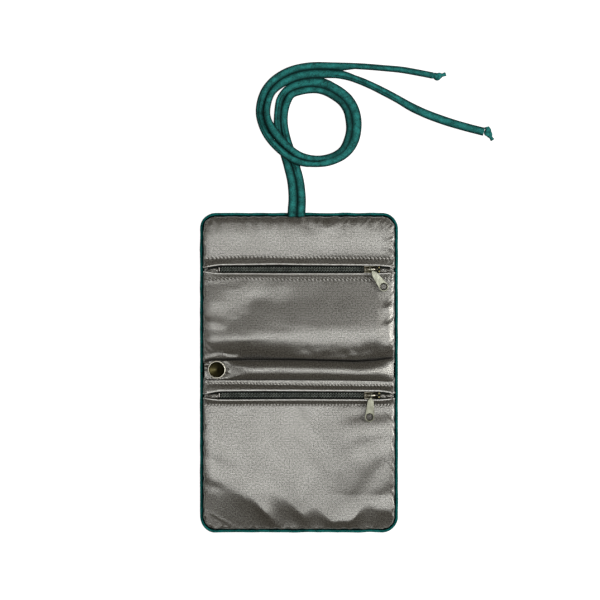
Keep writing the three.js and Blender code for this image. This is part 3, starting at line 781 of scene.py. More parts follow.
@dataclass(frozen=True)
class SatinFinish:
    """Taupe satin with floats that run along the roll, and a painted highlight where a piece marks one."""

    name: str = "taupe_satin"
    shade: Colour = (0.032, 0.030, 0.0265)
    light: Colour = (0.256, 0.248, 0.225)
    # Colour of the painted highlight along rolled edges and the right rim.
    highlight_paint: Colour = (0.46, 0.45, 0.42)
    highlight_paint_share: float = 0.75
    metallic: float = 0.75
    specular: float = 0.9
    rough_ends: tuple[float, float] = (0.31, 0.39)
    anisotropy: float = 0.78
    grain_depth: float = 0.00008
    weave_depth: float = 0.000008

    def build(self) -> Material:
        """Builds the material.

        Returns:
            The material.
        """
        material, tree, shader = new_material(self.name)
        cloth = node(tree, "ShaderNodeUVMap", uv_map="UVMap").outputs[0]
        grain = Effects.place(
            tree, grain_group, Vector=cloth, Slub_Scale=1050.0, Mottle_Scale=70.0, Stretch=(1.0, 0.95, 1.0)
        )
        threads = Effects.place(
            tree, weave_group, Vector=cloth, Warp_Pitch=0.0015, Weft_Pitch=0.0013, Lean=-0.9
        )
        crossing = maths(tree, "MULTIPLY", threads["Thread"], 0.15)
        tone = maths(tree, "MULTIPLY_ADD", grain["Slub"], 0.85, crossing)
        colour = mixed(tree, spread(tree, tone, 0.275, 0.725), self.shade, self.light)
        # Painted highlight at the points that the panel marks.
        highlight_paint = maths(tree, "MULTIPLY", marked(tree, "gloss"), self.highlight_paint_share)
        relief = bumped(tree, grain["Slub"], self.grain_depth)
        across = node(tree, "ShaderNodeTangent", direction_type="UV_MAP", uv_map="UVMap").outputs[0]
        wire(tree, shader, {
            "Base Color": mixed(tree, highlight_paint, colour, self.highlight_paint),
            "Roughness": spread(tree, grain["Mottle"], 0.3, 0.7, self.rough_ends),
            "Normal": bumped(tree, threads["Height"], self.weave_depth, after=relief),
            "Tangent": across,
            "Metallic": self.metallic,
            "Specular IOR Level": self.specular,
            "Anisotropic": self.anisotropy,
        })
        return material


@dataclass(frozen=True)
class CottonFinish:
    """Dyed cotton: fine threads, uneven dye, and painted shade at the sides of tubes and in creases."""

    name: str = "teal_cotton"
    deep: Colour = (0.005, 0.046, 0.042)
    pale: Colour = (0.026, 0.240, 0.222)
    specular: float = 0.12
    # Colour of the painted shade where a piece marks its sides and creases.
    hollow: Colour = (0.0006, 0.010, 0.0092)
    hollow_share: float = 0.97
    pitch: float = 0.0009
    grain_depth: float = 0.00009
    weave_depth: float = 0.000054

    def build(self) -> Material:
        """Builds the material.

        Returns:
            The material.
        """
        material, tree, shader = new_material(self.name)
        place = object_place(tree)
        grain = Effects.place(tree, grain_group, Vector=place, Slub_Scale=1100.0, Mottle_Scale=210.0)
        threads = Effects.place(
            tree, weave_group, Vector=place, Warp_Pitch=self.pitch, Weft_Pitch=self.pitch, Lean=0.3
        )
        slubs = maths(tree, "MULTIPLY", grain["Slub"], 0.45)
        tone = maths(tree, "MULTIPLY_ADD", grain["Mottle"], 0.55, slubs)
        colour = mixed(tree, spread(tree, tone, 0.34, 0.66), self.deep, self.pale)
        # Painted shade at the points that the piece marks.
        painted_shade_amount = maths(tree, "MULTIPLY", marked(tree, "hollow"), self.hollow_share)
        relief = bumped(tree, threads["Height"], self.weave_depth)
        wire(tree, shader, {
            "Base Color": mixed(tree, painted_shade_amount, colour, self.hollow),
            "Roughness": spread(tree, grain["Slub"], 0.3, 0.7, (0.78, 0.92)),
            "Normal": bumped(tree, grain["Height"], self.grain_depth, after=relief),
            "Specular IOR Level": self.specular,
        })
        return material


@dataclass(frozen=True)
class WaddingFinish:
    """Off-white wadding of loose fibres."""

    name: str = "loose_wadding"
    shade: Colour = (0.60, 0.57, 0.50)
    light: Colour = (0.80, 0.78, 0.72)
    depth: float = 0.0006

    def build(self) -> Material:
        """Builds the material.

        Returns:
            The material.
        """
        material, tree, shader = new_material(self.name)
        grain = Effects.place(
            tree, grain_group, Vector=object_place(tree), Slub_Scale=500.0, Mottle_Scale=80.0
        )
        wire(tree, shader, {
            "Base Color": mixed(tree, spread(tree, grain["Height"], 0.4, 0.9), self.shade, self.light),
            "Roughness": spread(tree, grain["Slub"], 0.3, 0.7, (0.9, 1.0)),
            "Normal": bumped(tree, grain["Height"], self.depth),
        })
        return material


@dataclass(frozen=True)
class WovenTapeFinish:
    """The dark woven tape of a zip, painted near black so that it also stands for the shadow under the satin
    lips.
    """

    name: str = "dark_zip_tape"
    shade: Colour = (0.003, 0.0035, 0.003)
    light: Colour = (0.012, 0.014, 0.012)
    pitch: float = 0.0007
    depth: float = 0.0001
    specular: float = 0.08

    def build(self) -> Material:
        """Builds the material.

        Returns:
            The material.
        """
        material, tree, shader = new_material(self.name)
        place = object_place(tree)
        threads = Effects.place(
            tree, weave_group, Vector=place, Warp_Pitch=self.pitch, Weft_Pitch=self.pitch
        )
        grain = Effects.place(tree, grain_group, Vector=place, Slub_Scale=900.0, Mottle_Scale=150.0)
        wire(tree, shader, {
            "Base Color": mixed(tree, spread(tree, grain["Height"], 0.4, 0.9), self.shade, self.light),
            "Roughness": spread(tree, grain["Slub"], 0.3, 0.7, (0.75, 0.9)),
            "Normal": bumped(tree, threads["Height"], self.depth),
            "Specular IOR Level": self.specular,
        })
        return material


@dataclass(frozen=True)
class NylonFinish:
    """Drawn or moulded nylon: coil, stops and thread."""

    name: str
    shade: Colour
    light: Colour
    rough_ends: tuple[float, float] = (0.36, 0.50)
    depth: float = 0.00002

    def build(self) -> Material:
        """Builds the material.

        Returns:
            The material.
        """
        material, tree, shader = new_material(self.name)
        grain = Effects.place(
            tree, grain_group, Vector=object_place(tree), Slub_Scale=1500.0, Mottle_Scale=260.0
        )
        wire(tree, shader, {
            "Base Color": mixed(tree, spread(tree, grain["Mottle"], 0.35, 0.65), self.shade, self.light),
            "Roughness": spread(tree, grain["Slub"], 0.3, 0.7, self.rough_ends),
            "Normal": bumped(tree, grain["Slub"], self.depth),
        })
        return material


@dataclass(frozen=True)
class MetalFinish:
    """Plated metal, rubbed bright along its rims, with a painted highlight and painted shade where a piece
    marks them.
    """

    name: str
    dull: Colour
    bright: Colour
    roughness: float = 0.34
    mottle: float = 0.35
    # Colour of the painted highlight at the points that a piece marks.
    rubbed: Colour = (0.66, 0.63, 0.54)
    # Colour of the painted shade at the points that a piece marks.
    painted_shade_tint: Colour = (0.014, 0.0135, 0.011)
    depth: float = 0.00002

    def build(self) -> Material:
        """Builds the material.

        Returns:
            The material.
        """
        material, tree, shader = new_material(self.name)
        place = object_place(tree)
        wear = Effects.place(tree, wear_group, Vector=place)
        grain = Effects.place(tree, grain_group, Vector=place, Slub_Scale=620.0, Mottle_Scale=170.0)
        cloudy = spread(tree, grain["Mottle"], 0.42, 0.75, (0.0, self.mottle))
        plated = mixed(tree, maths(tree, "ADD", wear["Rubbed"], cloudy), self.dull, self.bright)
        # Rims rubbed bright are wear; the marked points get a painted highlight.
        worn_and_highlit = mixed(tree, marked(tree, "gloss"), plated, self.rubbed)
        rough_ends = (self.roughness - 0.08, self.roughness + 0.12)
        wire(tree, shader, {
            # Painted shade at the marked points.
            "Base Color": mixed(tree, marked(tree, "hollow"), worn_and_highlit, self.painted_shade_tint),
            "Roughness": spread(tree, wear["Scratch"], 0.3, 0.7, rough_ends),
            "Normal": bumped(tree, wear["Scratch"], self.depth),
            "Metallic": 1.0,
        })
        return material


class Finishes:
    """Every material of the roll, built once."""

    def __init__(self) -> None:
        """Builds the materials."""
        self.satin = SatinFinish().build()
        self.cotton = CottonFinish().build()
        # The piping is the same teal cotton as the ties, painted darker here as painted shade.
        self.piping = CottonFinish(
            "teal_cotton_painted_darker", (0.001, 0.036, 0.033), (0.008, 0.150, 0.137), specular=0.04
        ).build()
        # The flange's near-black colour is a painted shadow for the crevice between satin and piping.
        self.flange = CottonFinish(
            "shaded_flange", (0.0008, 0.003, 0.003), (0.002, 0.008, 0.0075), specular=0.02
        ).build()
        self.wadding = WaddingFinish().build()
        self.tape = WovenTapeFinish().build()
        self.coil = NylonFinish("dark_coil", (0.038, 0.046, 0.039), (0.105, 0.120, 0.104)).build()
        self.stop = NylonFinish("pale_stop", (0.30, 0.28, 0.26), (0.52, 0.49, 0.46)).build()
        self.thread = NylonFinish("taupe_thread", (0.30, 0.29, 0.27), (0.52, 0.51, 0.48)).build()
        self.brass = MetalFinish(
            "aged_brass", (0.034, 0.030, 0.012), (0.32, 0.285, 0.15), roughness=0.42, mottle=0.12
        ).build()
        self.slider = MetalFinish(
            "dull_slider", (0.06, 0.056, 0.036), (0.52, 0.49, 0.34), roughness=0.34, mottle=0.30
        ).build()
        # Both pulls are the same metal; the upper one is painted lighter and the lower one darker, as
        # painted light.
        self.pulls = {
            "upper_zip": MetalFinish(
                "bright_pull_plate", (0.19, 0.19, 0.148), (0.56, 0.57, 0.46), roughness=0.40
            ).build(),
            "lower_zip": MetalFinish(
                "pale_pull_plate", (0.14, 0.14, 0.105), (0.40, 0.40, 0.32), roughness=0.42
            ).build(),
        }


# Studio


@dataclass
class Studio:
    """Camera, floor and soft lights."""

    view_centre: tuple[float, float] = (0.76, 55.0)
    camera_height: float = 1264.0
    lens: float = 100.0
    sensor: float = 36.0
    softbox_size: tuple[float, float] = (0.95, 0.90)
    softbox_place: tuple[float, float, float] = (0.03, -0.11, 1.6)
    softbox_power: float = 12.4
    softbox_colour: Colour = (0.975, 1.0, 1.03)
    side_size: tuple[float, float] = (0.6, 0.6)
    side_place: tuple[float, float, float] = (1.25, 0.12, 1.0)
    side_power: float = 19.0
    ambient: float = 0.145
    ambient_colour: Colour = (1.0, 0.86, 0.62)
    floor_half: float = 20.0
    floor_glow: float = 0.85
    floor_grey: float = 0.42
    floor_roughness: float = 0.9

    def build(self) -> None:
        """Builds camera, lights, world and floor."""
        self.camera()
        self.lamps()
        self.floor()

    def camera(self) -> None:
        """Places the camera straight above the roll."""
        data = bpy.data.cameras.new("overhead_camera")
        data.lens = self.lens
        data.sensor_width = self.sensor
        data.clip_end = 100.0
        camera = linked("overhead_camera", data)
        camera.location = Vector((*self.view_centre, self.camera_height)) * MM
        bpy.context.scene.camera = camera
        bpy.context.scene.view_settings.view_transform = "Standard"

    def lamp(
        self, name: str, place: Vector, size: tuple[float, float], power: float, colour: Colour,
    ) -> None:
        """Adds one soft lamp that faces the middle of the roll.

        Args:
            name: Name of the lamp.
            place: Where it stands, in metres.
            size: Its two sides, in metres.
            power: Its power in watts.
            colour: Colour of its light.
        """
        data = bpy.data.lights.new(name, "AREA")
        data.shape = "RECTANGLE"
        data.size, data.size_y = size
        data.energy = power
        data.color = colour
        lamp = linked(name, data)
        lamp.location = place
        lamp.rotation_euler = (-place).to_track_quat("-Z", "Y").to_euler()
        lamp.visible_camera = False

    def lamps(self) -> None:
        """Adds the overhead softbox, a weaker side lamp and an even world."""
        place = Vector(self.softbox_place)
        self.lamp("overhead_softbox", place, self.softbox_size, self.softbox_power, self.softbox_colour)
        self.lamp("side_softbox", Vector(self.side_place), self.side_size, self.side_power, WHITE[:3])
        world = bpy.data.worlds.new("even_room")
        world.use_nodes = True
        background = world.node_tree.nodes["Background"]
        wire(world.node_tree, background, {0: (*self.ambient_colour, 1.0), 1: self.ambient})
        bpy.context.scene.world = world

    def floor(self) -> None:
        """Adds the white floor, which keeps the shadow of the roll."""
        half = self.floor_half / MM
        corners = np.array([(-half, -half, 0), (half, -half, 0), (half, half, 0), (-half, half, 0)])
        made = new_object("white_floor", corners, [(0, 1, 2, 3)])
        material, tree, shader = new_material("white_table")
        rays = node(tree, "ShaderNodeLightPath").outputs
        bounced = maths(tree, "MAXIMUM", rays["Is Glossy Ray"], rays["Is Transmission Ray"])
        seen = maths(tree, "MAXIMUM", rays["Is Camera Ray"], bounced)
        wire(tree, shader, {
            "Base Color": (*[self.floor_grey] * 3, 1.0),
            "Roughness": self.floor_roughness,
            "Specular IOR Level": 0.0,
            "Emission Color": WHITE,
            "Emission Strength": maths(tree, "MULTIPLY", seen, self.floor_glow),
        })
        made.data.materials.append(material)


# Ties


def passing(t: Array, low: float, high: float, first: Array, second: Array) -> Array:
    """The straight run from a first place at low to a second place at high."""
    return ((high - t) * first + (t - low) * second) / (high - low)


def smooth_route(places: Array, spacing: float) -> Array:
    """Even points on the smooth curve through places.

    Args:
        places: The places that the curve passes through.
        spacing: Distance between points.

    Returns:
        The points.
    """
    full = np.concatenate([2 * places[:1] - places[1:2], places, 2 * places[-1:] - places[-2:-1]])
    pieces = []
    for i in range(1, len(full) - 2):
        p = full[i - 1 : i + 3]
        knots = np.concatenate([[0.0], np.cumsum(np.sqrt(np.linalg.norm(np.diff(p, axis=0), axis=1)))])
        t = np.linspace(knots[1], knots[2], 24, endpoint=False)[:, None]
        first = [passing(t, knots[k], knots[k + 1], p[k], p[k + 1]) for k in range(3)]
        second = [passing(t, knots[k], knots[k + 2], first[k], first[k + 1]) for k in range(2)]
        pieces.append(passing(t, knots[1], knots[2], second[0], second[1]))
    dense = np.concatenate([*pieces, places[-1:]])
    run = run_along(dense)
    even = np.linspace(0.0, run[-1], max(8, int(run[-1] / spacing)))
    return np.stack([np.interp(even, run, dense[:, k]) for k in range(3)], axis=-1)


def tube_rings(path: Array, section: Section, sides: int) -> Array:
    """Rings along a path, with their width level with the table.

    Args:
        path: Points of the centreline.
        section: Gives places across and up for a share along the path and an angle.
        sides: Points on a ring.

    Returns:
        The rings.
    """
    ahead = np.gradient(path, axis=0)
    ahead /= np.linalg.norm(ahead, axis=1, keepdims=True)
    side = np.cross(ahead, (0.0, 0.0, 1.0))
    side /= np.linalg.norm(side, axis=1, keepdims=True)
    up = np.cross(side, ahead)
    angle = around(sides)[None, :]
    share = np.linspace(0, 1, len(path))[:, None]
    across, high = section(share, angle)
    return path[:, None, :] + across[..., None] * side[:, None, :] + high[..., None] * up[:, None, :]


OVER_PIPING = 5.6
ON_TABLE = 1.9
LEFT_TIE_ROUTE = (
    (-5.4, -2.8, OVER_PIPING), (-5.2, 2.4, OVER_PIPING), (-4.7, 9.7, 4.0), (-5, 17.2, 2.404), (-5.9, 24.8),
    (-7.7, 32.4), (-9.8, 39.9), (-12.4, 48.2), (-15, 56.5), (-16.6, 64.1), (-17.1, 71.7),
    (-16.6, 79.2), (-15.1, 86.4), (-11, 92.1), (-5.4, 95.4), (0.8, 97.5), (9.8, 98.9),
    (18.9, 98.1), (25.7, 95.3), (31.8, 91.5), (37.4, 86.4), (41.6, 79.6), (43.7, 72.4),
    (44.1, 64.9), (42.8, 56.5), (39.3, 49), (34, 43.3, 2.5), (27.2, 39.6, 2.8), (19.7, 37.4, 3.2),
    (11.3, 36.8, 4.3), (3, 37.6, 5.9), (-4.5, 40.1, 6.31), (-12.1, 45, 6.31), (-18.9, 51.3, 6.31),
    (-24.2, 58.4, 4.0), (-28.1, 66.8, 2.068), (-29.9, 75.4), (-28.9, 84.5), (-25.7, 92.8),
    (-20.4, 99.6), (-13.6, 104.7), (-6, 108.3), (2.3, 110.6), (12.1, 111.7), (23.4, 111.6),
    (37, 111.3), (50.7, 110.6), (64.3, 109.5), (77.9, 108.2), (90, 106.1), (101.3, 103.9),
)
RIGHT_TIE_ROUTE = (
    (1.7, -2.8, OVER_PIPING), (1.9, 2.4, OVER_PIPING), (2.2, 9.7, 4.0), (1.7, 17.2, 2.404), (0.6, 24.8),
    (-1.4, 32.4), (-3.6, 39.2), (-5.9, 46.7), (-8.5, 54.7), (-10.3, 62.6), (-11, 70.2), (-10.4, 77.7),
    (-8.4, 84.1), (-5.3, 89.1), (0.8, 91.5), (7.6, 92.8), (14.4, 92.8), (20.8, 91), (27.2, 87.3),
    (32.5, 82.9), (36.1, 77), (37.7, 70.2), (38, 62.6), (36.2, 55), (32.9, 48.4), (27.9, 44.3),
    (21.4, 41.8), (14.4, 40.7, 2.236), (7.4, 41.1, 3.6), (0.5, 43.2, 5.4), (-5.9, 47.4, 6.2),
    (-11.7, 53.1, 6.31), (-17, 59.2, 6.31), (-21.2, 66, 6.31), (-23.8, 73.9, 5.05), (-23.1, 83, 2.572),
    (-20.2, 90.6), (-15.1, 96.2), (-8.5, 100.5), (-0.8, 103.6), (8.3, 105.1), (17.4, 105.7), (26.5, 104.9),
    (35.5, 103.4), (44.6, 100.6), (53.7, 96.8), (64.3, 91.6), (74.8, 86), (84.7, 80.3), (95.3, 75.3),
    (106.6, 71), (117.9, 67.3), (129.3, 64.1), (139.9, 61.4),
)


@dataclass
class Tie:
    """One soft tie: a sewn tube of cotton with a knot at its end."""

    name: str
    route: Sequence[tuple[float, ...]]
    widths: Knots
    creases: Sequence[tuple[float, float, float, float]]
    knot_turn: float
    seed: int
    length: float = 438.0
    width: float = 5.6
    area: float = 24.0
    touch: float = 8.0
    clear: float = 99.0
    touching: tuple[float, float] = (2.1, 4.2)
    heights: tuple[float, float] = (3.3, 4.7)
    apart: Sequence[tuple[float, float, int, float]] = ()
    shaded: Sequence[tuple[float, float, float]] = ()
    spacing: float = 0.8
    sides: int = 40
    knot_ahead: float = 3.4
    knot_level: float = 2.6
    knot_voxel: float = 0.30
    path: Array = field(init=False)

    def __post_init__(self) -> None:
        """Works out the centreline."""
        places = np.array([(x, y, *(level or [ON_TABLE])) for x, y, *level in self.route], float)
        places[:, 1] += HALF_LENGTH
        self.path = smooth_route(places, self.spacing)

    def room(self, other: "Tie") -> list[Array]:
        """Distance to the strands that lie beside this one.

        Args:
            other: The tie beside it.

        Returns:
            The distance on the right and on the left, at each point of the path.
        """
        ahead = np.gradient(self.path, axis=0)
        ahead /= np.linalg.norm(ahead, axis=1, keepdims=True)
        side = np.cross(ahead, (0.0, 0.0, 1.0))
        free = [np.full(len(self.path), self.clear) for _ in range(2)]
        for strand in (self.path, other.path):
            gap = strand[None] - self.path[:, None]
            across = (gap * side[:, None]).sum(-1)
            level = np.abs(gap[..., 2])
            abreast = np.abs((gap * ahead[:, None]).sum(-1)) < 1.5
            near = abreast & ((level < 2.4) | ((level < 5.0) & (np.abs(across) > 4.5)))
            if strand is self.path:
                count = np.arange(len(strand))
                near &= np.abs(count[:, None] - count[None, :]) > 24
            for k, sign in enumerate((1, -1)):
                beside = np.where(near & (sign * across > 1.0), sign * across, self.clear)
                free[k] = np.minimum(free[k], beside.min(1))
        return free

    def halves(self, other: "Tie") -> list[Array]:
        """Half widths on the right and on the left; strands side by side touch.

        Args:
            other: The tie beside it.

        Returns:
            The two half widths at each point of the path.
        """
        share = np.linspace(0, 1, len(self.path))
        wanted = (traced(share, self.widths, 0.012) + 0.12 * wave(share * self.length, 23.0, self.seed)) / 2
        made = []
        for k, free in enumerate(self.room(other)):
            half = np.where(free < self.touch, np.clip(free / 2 + 0.25, *self.touching), wanted)
            for start, end, side, width in self.apart:
                inside = between(share, start, end, 0.02) * (side == k)
                half = half + (width - half) * inside
            made.append(np.convolve(np.pad(half, 6, mode="edge"), np.ones(13) / 13, mode="valid"))
        return made

    def build(self, other: "Tie", finishes: Finishes) -> list[Piece]:
        """Args:
            other: The tie beside it.
            finishes: The materials.

        Returns:
            The strand and the knot.
        """
        share = np.linspace(0, 1, len(self.path))
        right, left = self.halves(other)
        height = np.clip(self.area / (right + left), *self.heights)
        hollow = np.zeros((len(self.path), self.sides))
        path = self.path.copy()
        path[:, 2] += np.clip(height / 2 - 1.85, -0.25, 0.6)
        tuck = np.clip(1 - share * self.length / 6.0, 0, 1) ** 1.5
        path[:, 2] -= ON_TABLE * tuck
        height *= 1 - 0.45 * tuck

        def section(along: Array, angle: Array) -> tuple[Array, Array]:
            """The oval of the tube, dented along its creases, with its painted shade.

            Args:
                along: Share along the path.
                angle: Angle round the ring.

            Returns:
                Places across and up.
            """
            across = np.cos(angle)
            up = np.sign(np.sin(angle)) * np.abs(np.sin(angle)) ** 0.95
            dent = np.zeros_like(along * angle)
            # Painted shade: darker towards the sides of the tube, over the shaded runs and in the creases.
            hollow[:] = step(np.abs(across), 0.12, 1.0) ** 1.15 + 0 * along
            for start, end, amount in self.shaded:
                hollow[:] += amount * between(along, start, end, 0.04) * (1 - hollow)
            for start, end, place, depth in self.creases:
                inside = between(along, start, end, 0.03)
                groove = hump(across - place, 0.15) * (np.sin(angle) > 0)
                dent += inside * depth * groove
                hollow[:] = np.maximum(hollow, 0.9 * inside * groove)
            slack = 1 + 0.025 * wave(along * self.length, 9.0, self.seed + 3) * np.sin(2 * angle)
            half = np.where(across > 0, right[:, None], left[:, None])
            return across * half, (up * slack) * height[:, None] / 2 - dent

        strand = skin(f"{self.name}_strand", tube_rings(path, section, self.sides))
        mark(strand, "hollow", np.append(hollow.ravel(), (0.0, 0.0)))
        dress(strand, finishes.cotton)
        knot = self.knot(path, finishes)
        for made, cad in ((strand, self.name), (knot, f"{self.name}_knot")):
            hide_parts(cad)
            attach(made, Body.UPPER.value)
        return [strand, knot]

    def knot(self, path: Array, finishes: Finishes) -> Piece:
        """Builds the overhand knot and the short tail that comes out of it.

        Args:
            path: Centreline of the tie.
            finishes: The materials.

        Returns:
            The knot.
        """
        turn = np.linspace(0, 2 * math.pi, 97)
        across = 0.98 * (np.sin(turn) + 2 * np.sin(2 * turn))
        along = 0.62 * (np.cos(turn) - 2 * np.cos(2 * turn))
        loop = np.column_stack([across, along, -0.85 * np.sin(3 * turn)])
        tail = np.linspace((2.2, 0.4, 0.4), (6.3, 2.0, 0.0), 14)

        def thick(radius: float, flare: float) -> Section:
            """A round section of a radius that grows by the flare towards its end.

            Args:
                radius: Radius of the section.
                flare: Share by which it grows.

            Returns:
                The section.
            """

            def section(along: Array, angle: Array) -> tuple[Array, Array]:
                """The round section."""
                size = radius * (1 + flare * along**2)
                return size * np.cos(angle), size * np.sin(angle) * 0.92

            return section

        core = np.linspace((-4.6, 0, 0), (1.5, 0, 0), 12)
        runs = (("loop", loop, 1.5, 0.0), ("tail", tail, 1.25, 0.35), ("core", core, 1.9, -0.2))
        parts = [
            skin(f"knot_{name}", tube_rings(run, thick(size, flare), 16)) for name, run, size, flare in runs
        ]
        knot = joined(f"{self.name}_end_knot", parts)
        fuse = knot.modifiers.new("fuse", "REMESH")
        fuse.mode = "VOXEL"
        fuse.voxel_size = self.knot_voxel * MM
        soften = knot.modifiers.new("soften", "SMOOTH")
        soften.factor, soften.iterations = 0.5, 3
        settled(knot)
        low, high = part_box(f"{self.name}_knot")
        way = path[-1] - path[-6]
        heading = math.atan2(way[1], way[0])
        reach = Vector((math.cos(heading), math.sin(heading), 0.0)) * self.knot_ahead * MM
        place = Vector(path[-1] * MM) + reach
        place.z = max((low.z + high.z) / 2, self.knot_level * MM)
        turned_to = Matrix.Rotation(heading + self.knot_turn, 4, "Z")
        knot.data.transform(Matrix.Translation(place) @ turned_to)
        # Painted shade where the knot's faces turn away from the top.
        slope = 1 - np.array([v.normal.z for v in knot.data.vertices])
        return dress(mark(knot, "hollow", step(slope, 0.08, 0.9)), finishes.cotton)


# Body of the roll


@dataclass
class Piping:
    """The round cotton piping along the edge, in a far and a near half."""

    reach: float = 74.02
    end: float = 120.02
    corner: float = 11.0
    level: float = 1.75
    radius: float = 0.98
    spacing: float = 0.7
    sides: int = 20

    def half(self, way: int) -> Array:
        """The path of one half, from left to right.

        Args:
            way: 1 for the far half, -1 for the near half.

        Returns:
            Points of its centreline.
        """
        far = self.end - self.corner
        fold = fold_place(way)
        spine, crease = np.linspace(0, fold - 6, 6), np.linspace(fold - 5.5, fold + 5.5, 34)
        side = np.concatenate([spine, crease, np.arange(fold + 6, far, self.spacing)])
        bend = np.linspace(math.pi, math.pi / 2, 30)
        left = np.stack([np.full_like(side, -self.reach), side], axis=-1)
        arc = np.stack(
            [self.corner - self.reach + self.corner * np.cos(bend), far + self.corner * np.sin(bend)],
            axis=-1,
        )
        top = np.arange(self.corner - self.reach + 0.7, 0.0, self.spacing)
        top = np.stack([top, np.full_like(top, self.end)], axis=-1)
        flat = np.concatenate([left, arc, top])
        whole = np.concatenate([flat, [[0.0, self.end]], flat[::-1] * (-1, 1)])
        return np.column_stack([whole[:, 0], whole[:, 1] * way, np.full(len(whole), self.level)])

    def build(self, finishes: Finishes) -> list[Piece]:
        """Builds both halves.

        Args:
            finishes: The materials.

        Returns:
            The piping and the flange of each half.
        """
        made = []
        for way, name, body, side in HALVES:
            path = self.half(way)
            run = run_along(path)
            away = np.clip(np.abs(path[:, 1]) / 12, 0, 1)
            wobble = 0.16 * wave(run, 26.0, 5 + way) * away
            path[:, 2] += 0.10 * wave(run, 17.0, 8 + way) * away
            path[:, :2] *= (1 - wobble / 95)[:, None]
            size = self.radius * (1 + 0.035 * wave(run, 8.0, 11 + way))[:, None]

            def section(along: Array, angle: Array) -> tuple[Array, Array]:
                """The round section with the slant wrinkles of bias-cut cloth.

                Args:
                    along: Share along the path; not used.
                    angle: Angle round the ring.

                Returns:
                    Places across and up.
                """
                turns = 2 * math.pi * run[:, None]
                wrinkle = 1 + 0.028 * np.cos(turns / 2.6 + angle) + 0.02 * np.cos(turns / 1.9 - 2 * angle)
                return size * wrinkle * np.cos(angle), size * wrinkle * np.sin(angle)

            piece = skin(f"piping_{name}", tube_rings(path, section, self.sides))
            # Painted shade along both sides of the piping.
            rim = step(np.abs(np.cos(around(self.sides))), 0.70, 0.98)
            mark(piece, "hollow", np.append(np.tile(0.75 * rim, len(path)), (0.0, 0.0)))
            dress(piece, finishes.piping)
            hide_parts(f"{side}_piping_cover", f"{side}_piping_cord")
            end = "left" if way > 0 else "right"
            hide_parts(f"spine_piping_{end}_cover", f"spine_piping_{end}_cord")
            made.append(fold_over(piece))

            def tape(along: Array, angle: Array) -> tuple[Array, Array]:
                """The flat section of the sewn-in flange, on the inner side."""
                across = way * (1.5 + 1.5 * np.cos(angle)) + 0 * along
                return across, 0.12 * np.sin(angle) - 0.62 + 0 * along

            # Near black in its finish: a painted shadow in the crevice between satin and piping.
            flange = skin(f"piping_flange_{name}", tube_rings(path, tape, 8))
            dress(flange, finishes.flange)
            made.append(fold_over(flange))
        return made


@dataclass(frozen=True)
class Layer:
    """One layer under the pockets; its level is read across, along and by distance from the edge."""

    name: str
    level: Callable[[Array, Array, Array], Array]
    spare: float
    thickness: float
    material: Material
    slot: Slot


@dataclass
class BaseLayers:
    """The outer cover, the padding and the lining under the pockets."""

    columns: int = 96
    seam: float = 1.0
    fill: float = 0.35

    @staticmethod
    def cover_level(x: Array, y: Array, d: Array) -> Array:
        """Height of the outer cover, which is a little uneven."""
        return 0.78 + 0.10 * ripple(x, y, 38.0, 21) * step(d, 0, 12)

    @staticmethod
    def padding_level(x: Array, y: Array, d: Array) -> Array:
        """Height of the padding, which is thin along its edge."""
        return 1.9 + 1.2 * rise(d, 5.0)

    @staticmethod
    def lining_level(x: Array, y: Array, d: Array) -> Array:
        """Height of the lining, which is drawn down at the seam."""
        return 3.72 + 0.06 * ripple(x, y, 14.0, 23) - 0.5 * np.exp(-np.clip(d, 0, 9))

    def rows(self, way: int) -> Array:
        """Places along one half, close together at its fold.

        Args:
            way: 1 for the far half, -1 for the near half.

        Returns:
            The places.
        """
        fold = fold_place(way)
        far = PANEL_FAR - PANEL_CORNER
        bend = np.linspace(0, math.pi / 2, 14)[1:]
        spine, panel = np.linspace(0, fold - 5.5, 5)[:-1], np.linspace(fold + 6.5, far, 60)
        crease = np.linspace(fold - 5.5, fold + 5.5, 34)
        return way * np.concatenate([spine, crease, panel, far + PANEL_CORNER * np.sin(bend)])

    def sheet(self, layer: Layer, way: int, half: str) -> Piece:
        """A layer of one half of the roll.

        Args:
            layer: The layer.
            way: 1 for the far half, -1 for the near half.
            half: Name of the half.

        Returns:
            The sheet.
        """
        y = self.rows(way)[:, None]
        x = np.linspace(-1, 1, self.columns)[None, :] * (panel_reach(y) + layer.spare)
        past = np.clip((np.abs(y) - PANEL_FAR + PANEL_CORNER) / PANEL_CORNER, 0.0, 1.0)
        y = np.broadcast_to(y + way * layer.spare * past, x.shape)
        points = np.stack([x, y, layer.level(x, y, edge_distance(x, y))], axis=-1)
        made = cloth_grid(f"{layer.name}_{half}", points, points[..., :2] * MM)
        return dress(thicken(made, layer.thickness), layer.material)

    def build(self, finishes: Finishes) -> list[Piece]:
        """Builds the three layers of both halves.

        Args:
            finishes: The materials.

        Returns:
            The pieces.
        """
        made = []
        layers = (
            Layer("cover", self.cover_level, 2.1, 0.55, finishes.cotton, Slot.COTTON),
            Layer("padding", self.padding_level, -0.4, 1.0, finishes.wadding, Slot.WADDING),
            Layer("lining", self.lining_level, 0.2, 0.4, finishes.satin, Slot.SATIN),
        )
        for way, name, body, side in HALVES:
            parts = [side, "spine"] if way > 0 else [side]
            sheets = [self.sheet(layer, way, name) for layer in layers]
            for piece, layer in zip(sheets, layers):
                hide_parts(*(f"{part}_{layer.name}" for part in parts))
                fold_over(piece)
            made += sheets
        return made


@dataclass(frozen=True)
class Fold:
    """A soft ridge, or a dent where its height is negative."""

    start: tuple[float, float]
    end: tuple[float, float]
    width: float
    height: float

    def lift(self, x: Array, y: Array) -> Array:
        """How far it lifts the cloth.

        Args:
            x: Places across.
            y: Places along.

        Returns:
            The lift at each place.
        """
        dx, dy = self.end[0] - self.start[0], self.end[1] - self.start[1]
        length = math.hypot(dx, dy)
        along = ((x - self.start[0]) * dx + (y - self.start[1]) * dy) / length
        across = ((y - self.start[1]) * dx - (x - self.start[0]) * dy) / length
        past = np.clip(np.abs(along - length / 2) - length / 2, 0, None)
        return self.height * np.exp(-((across / self.width) ** 2) - (past / (1.6 * self.width)) ** 2)


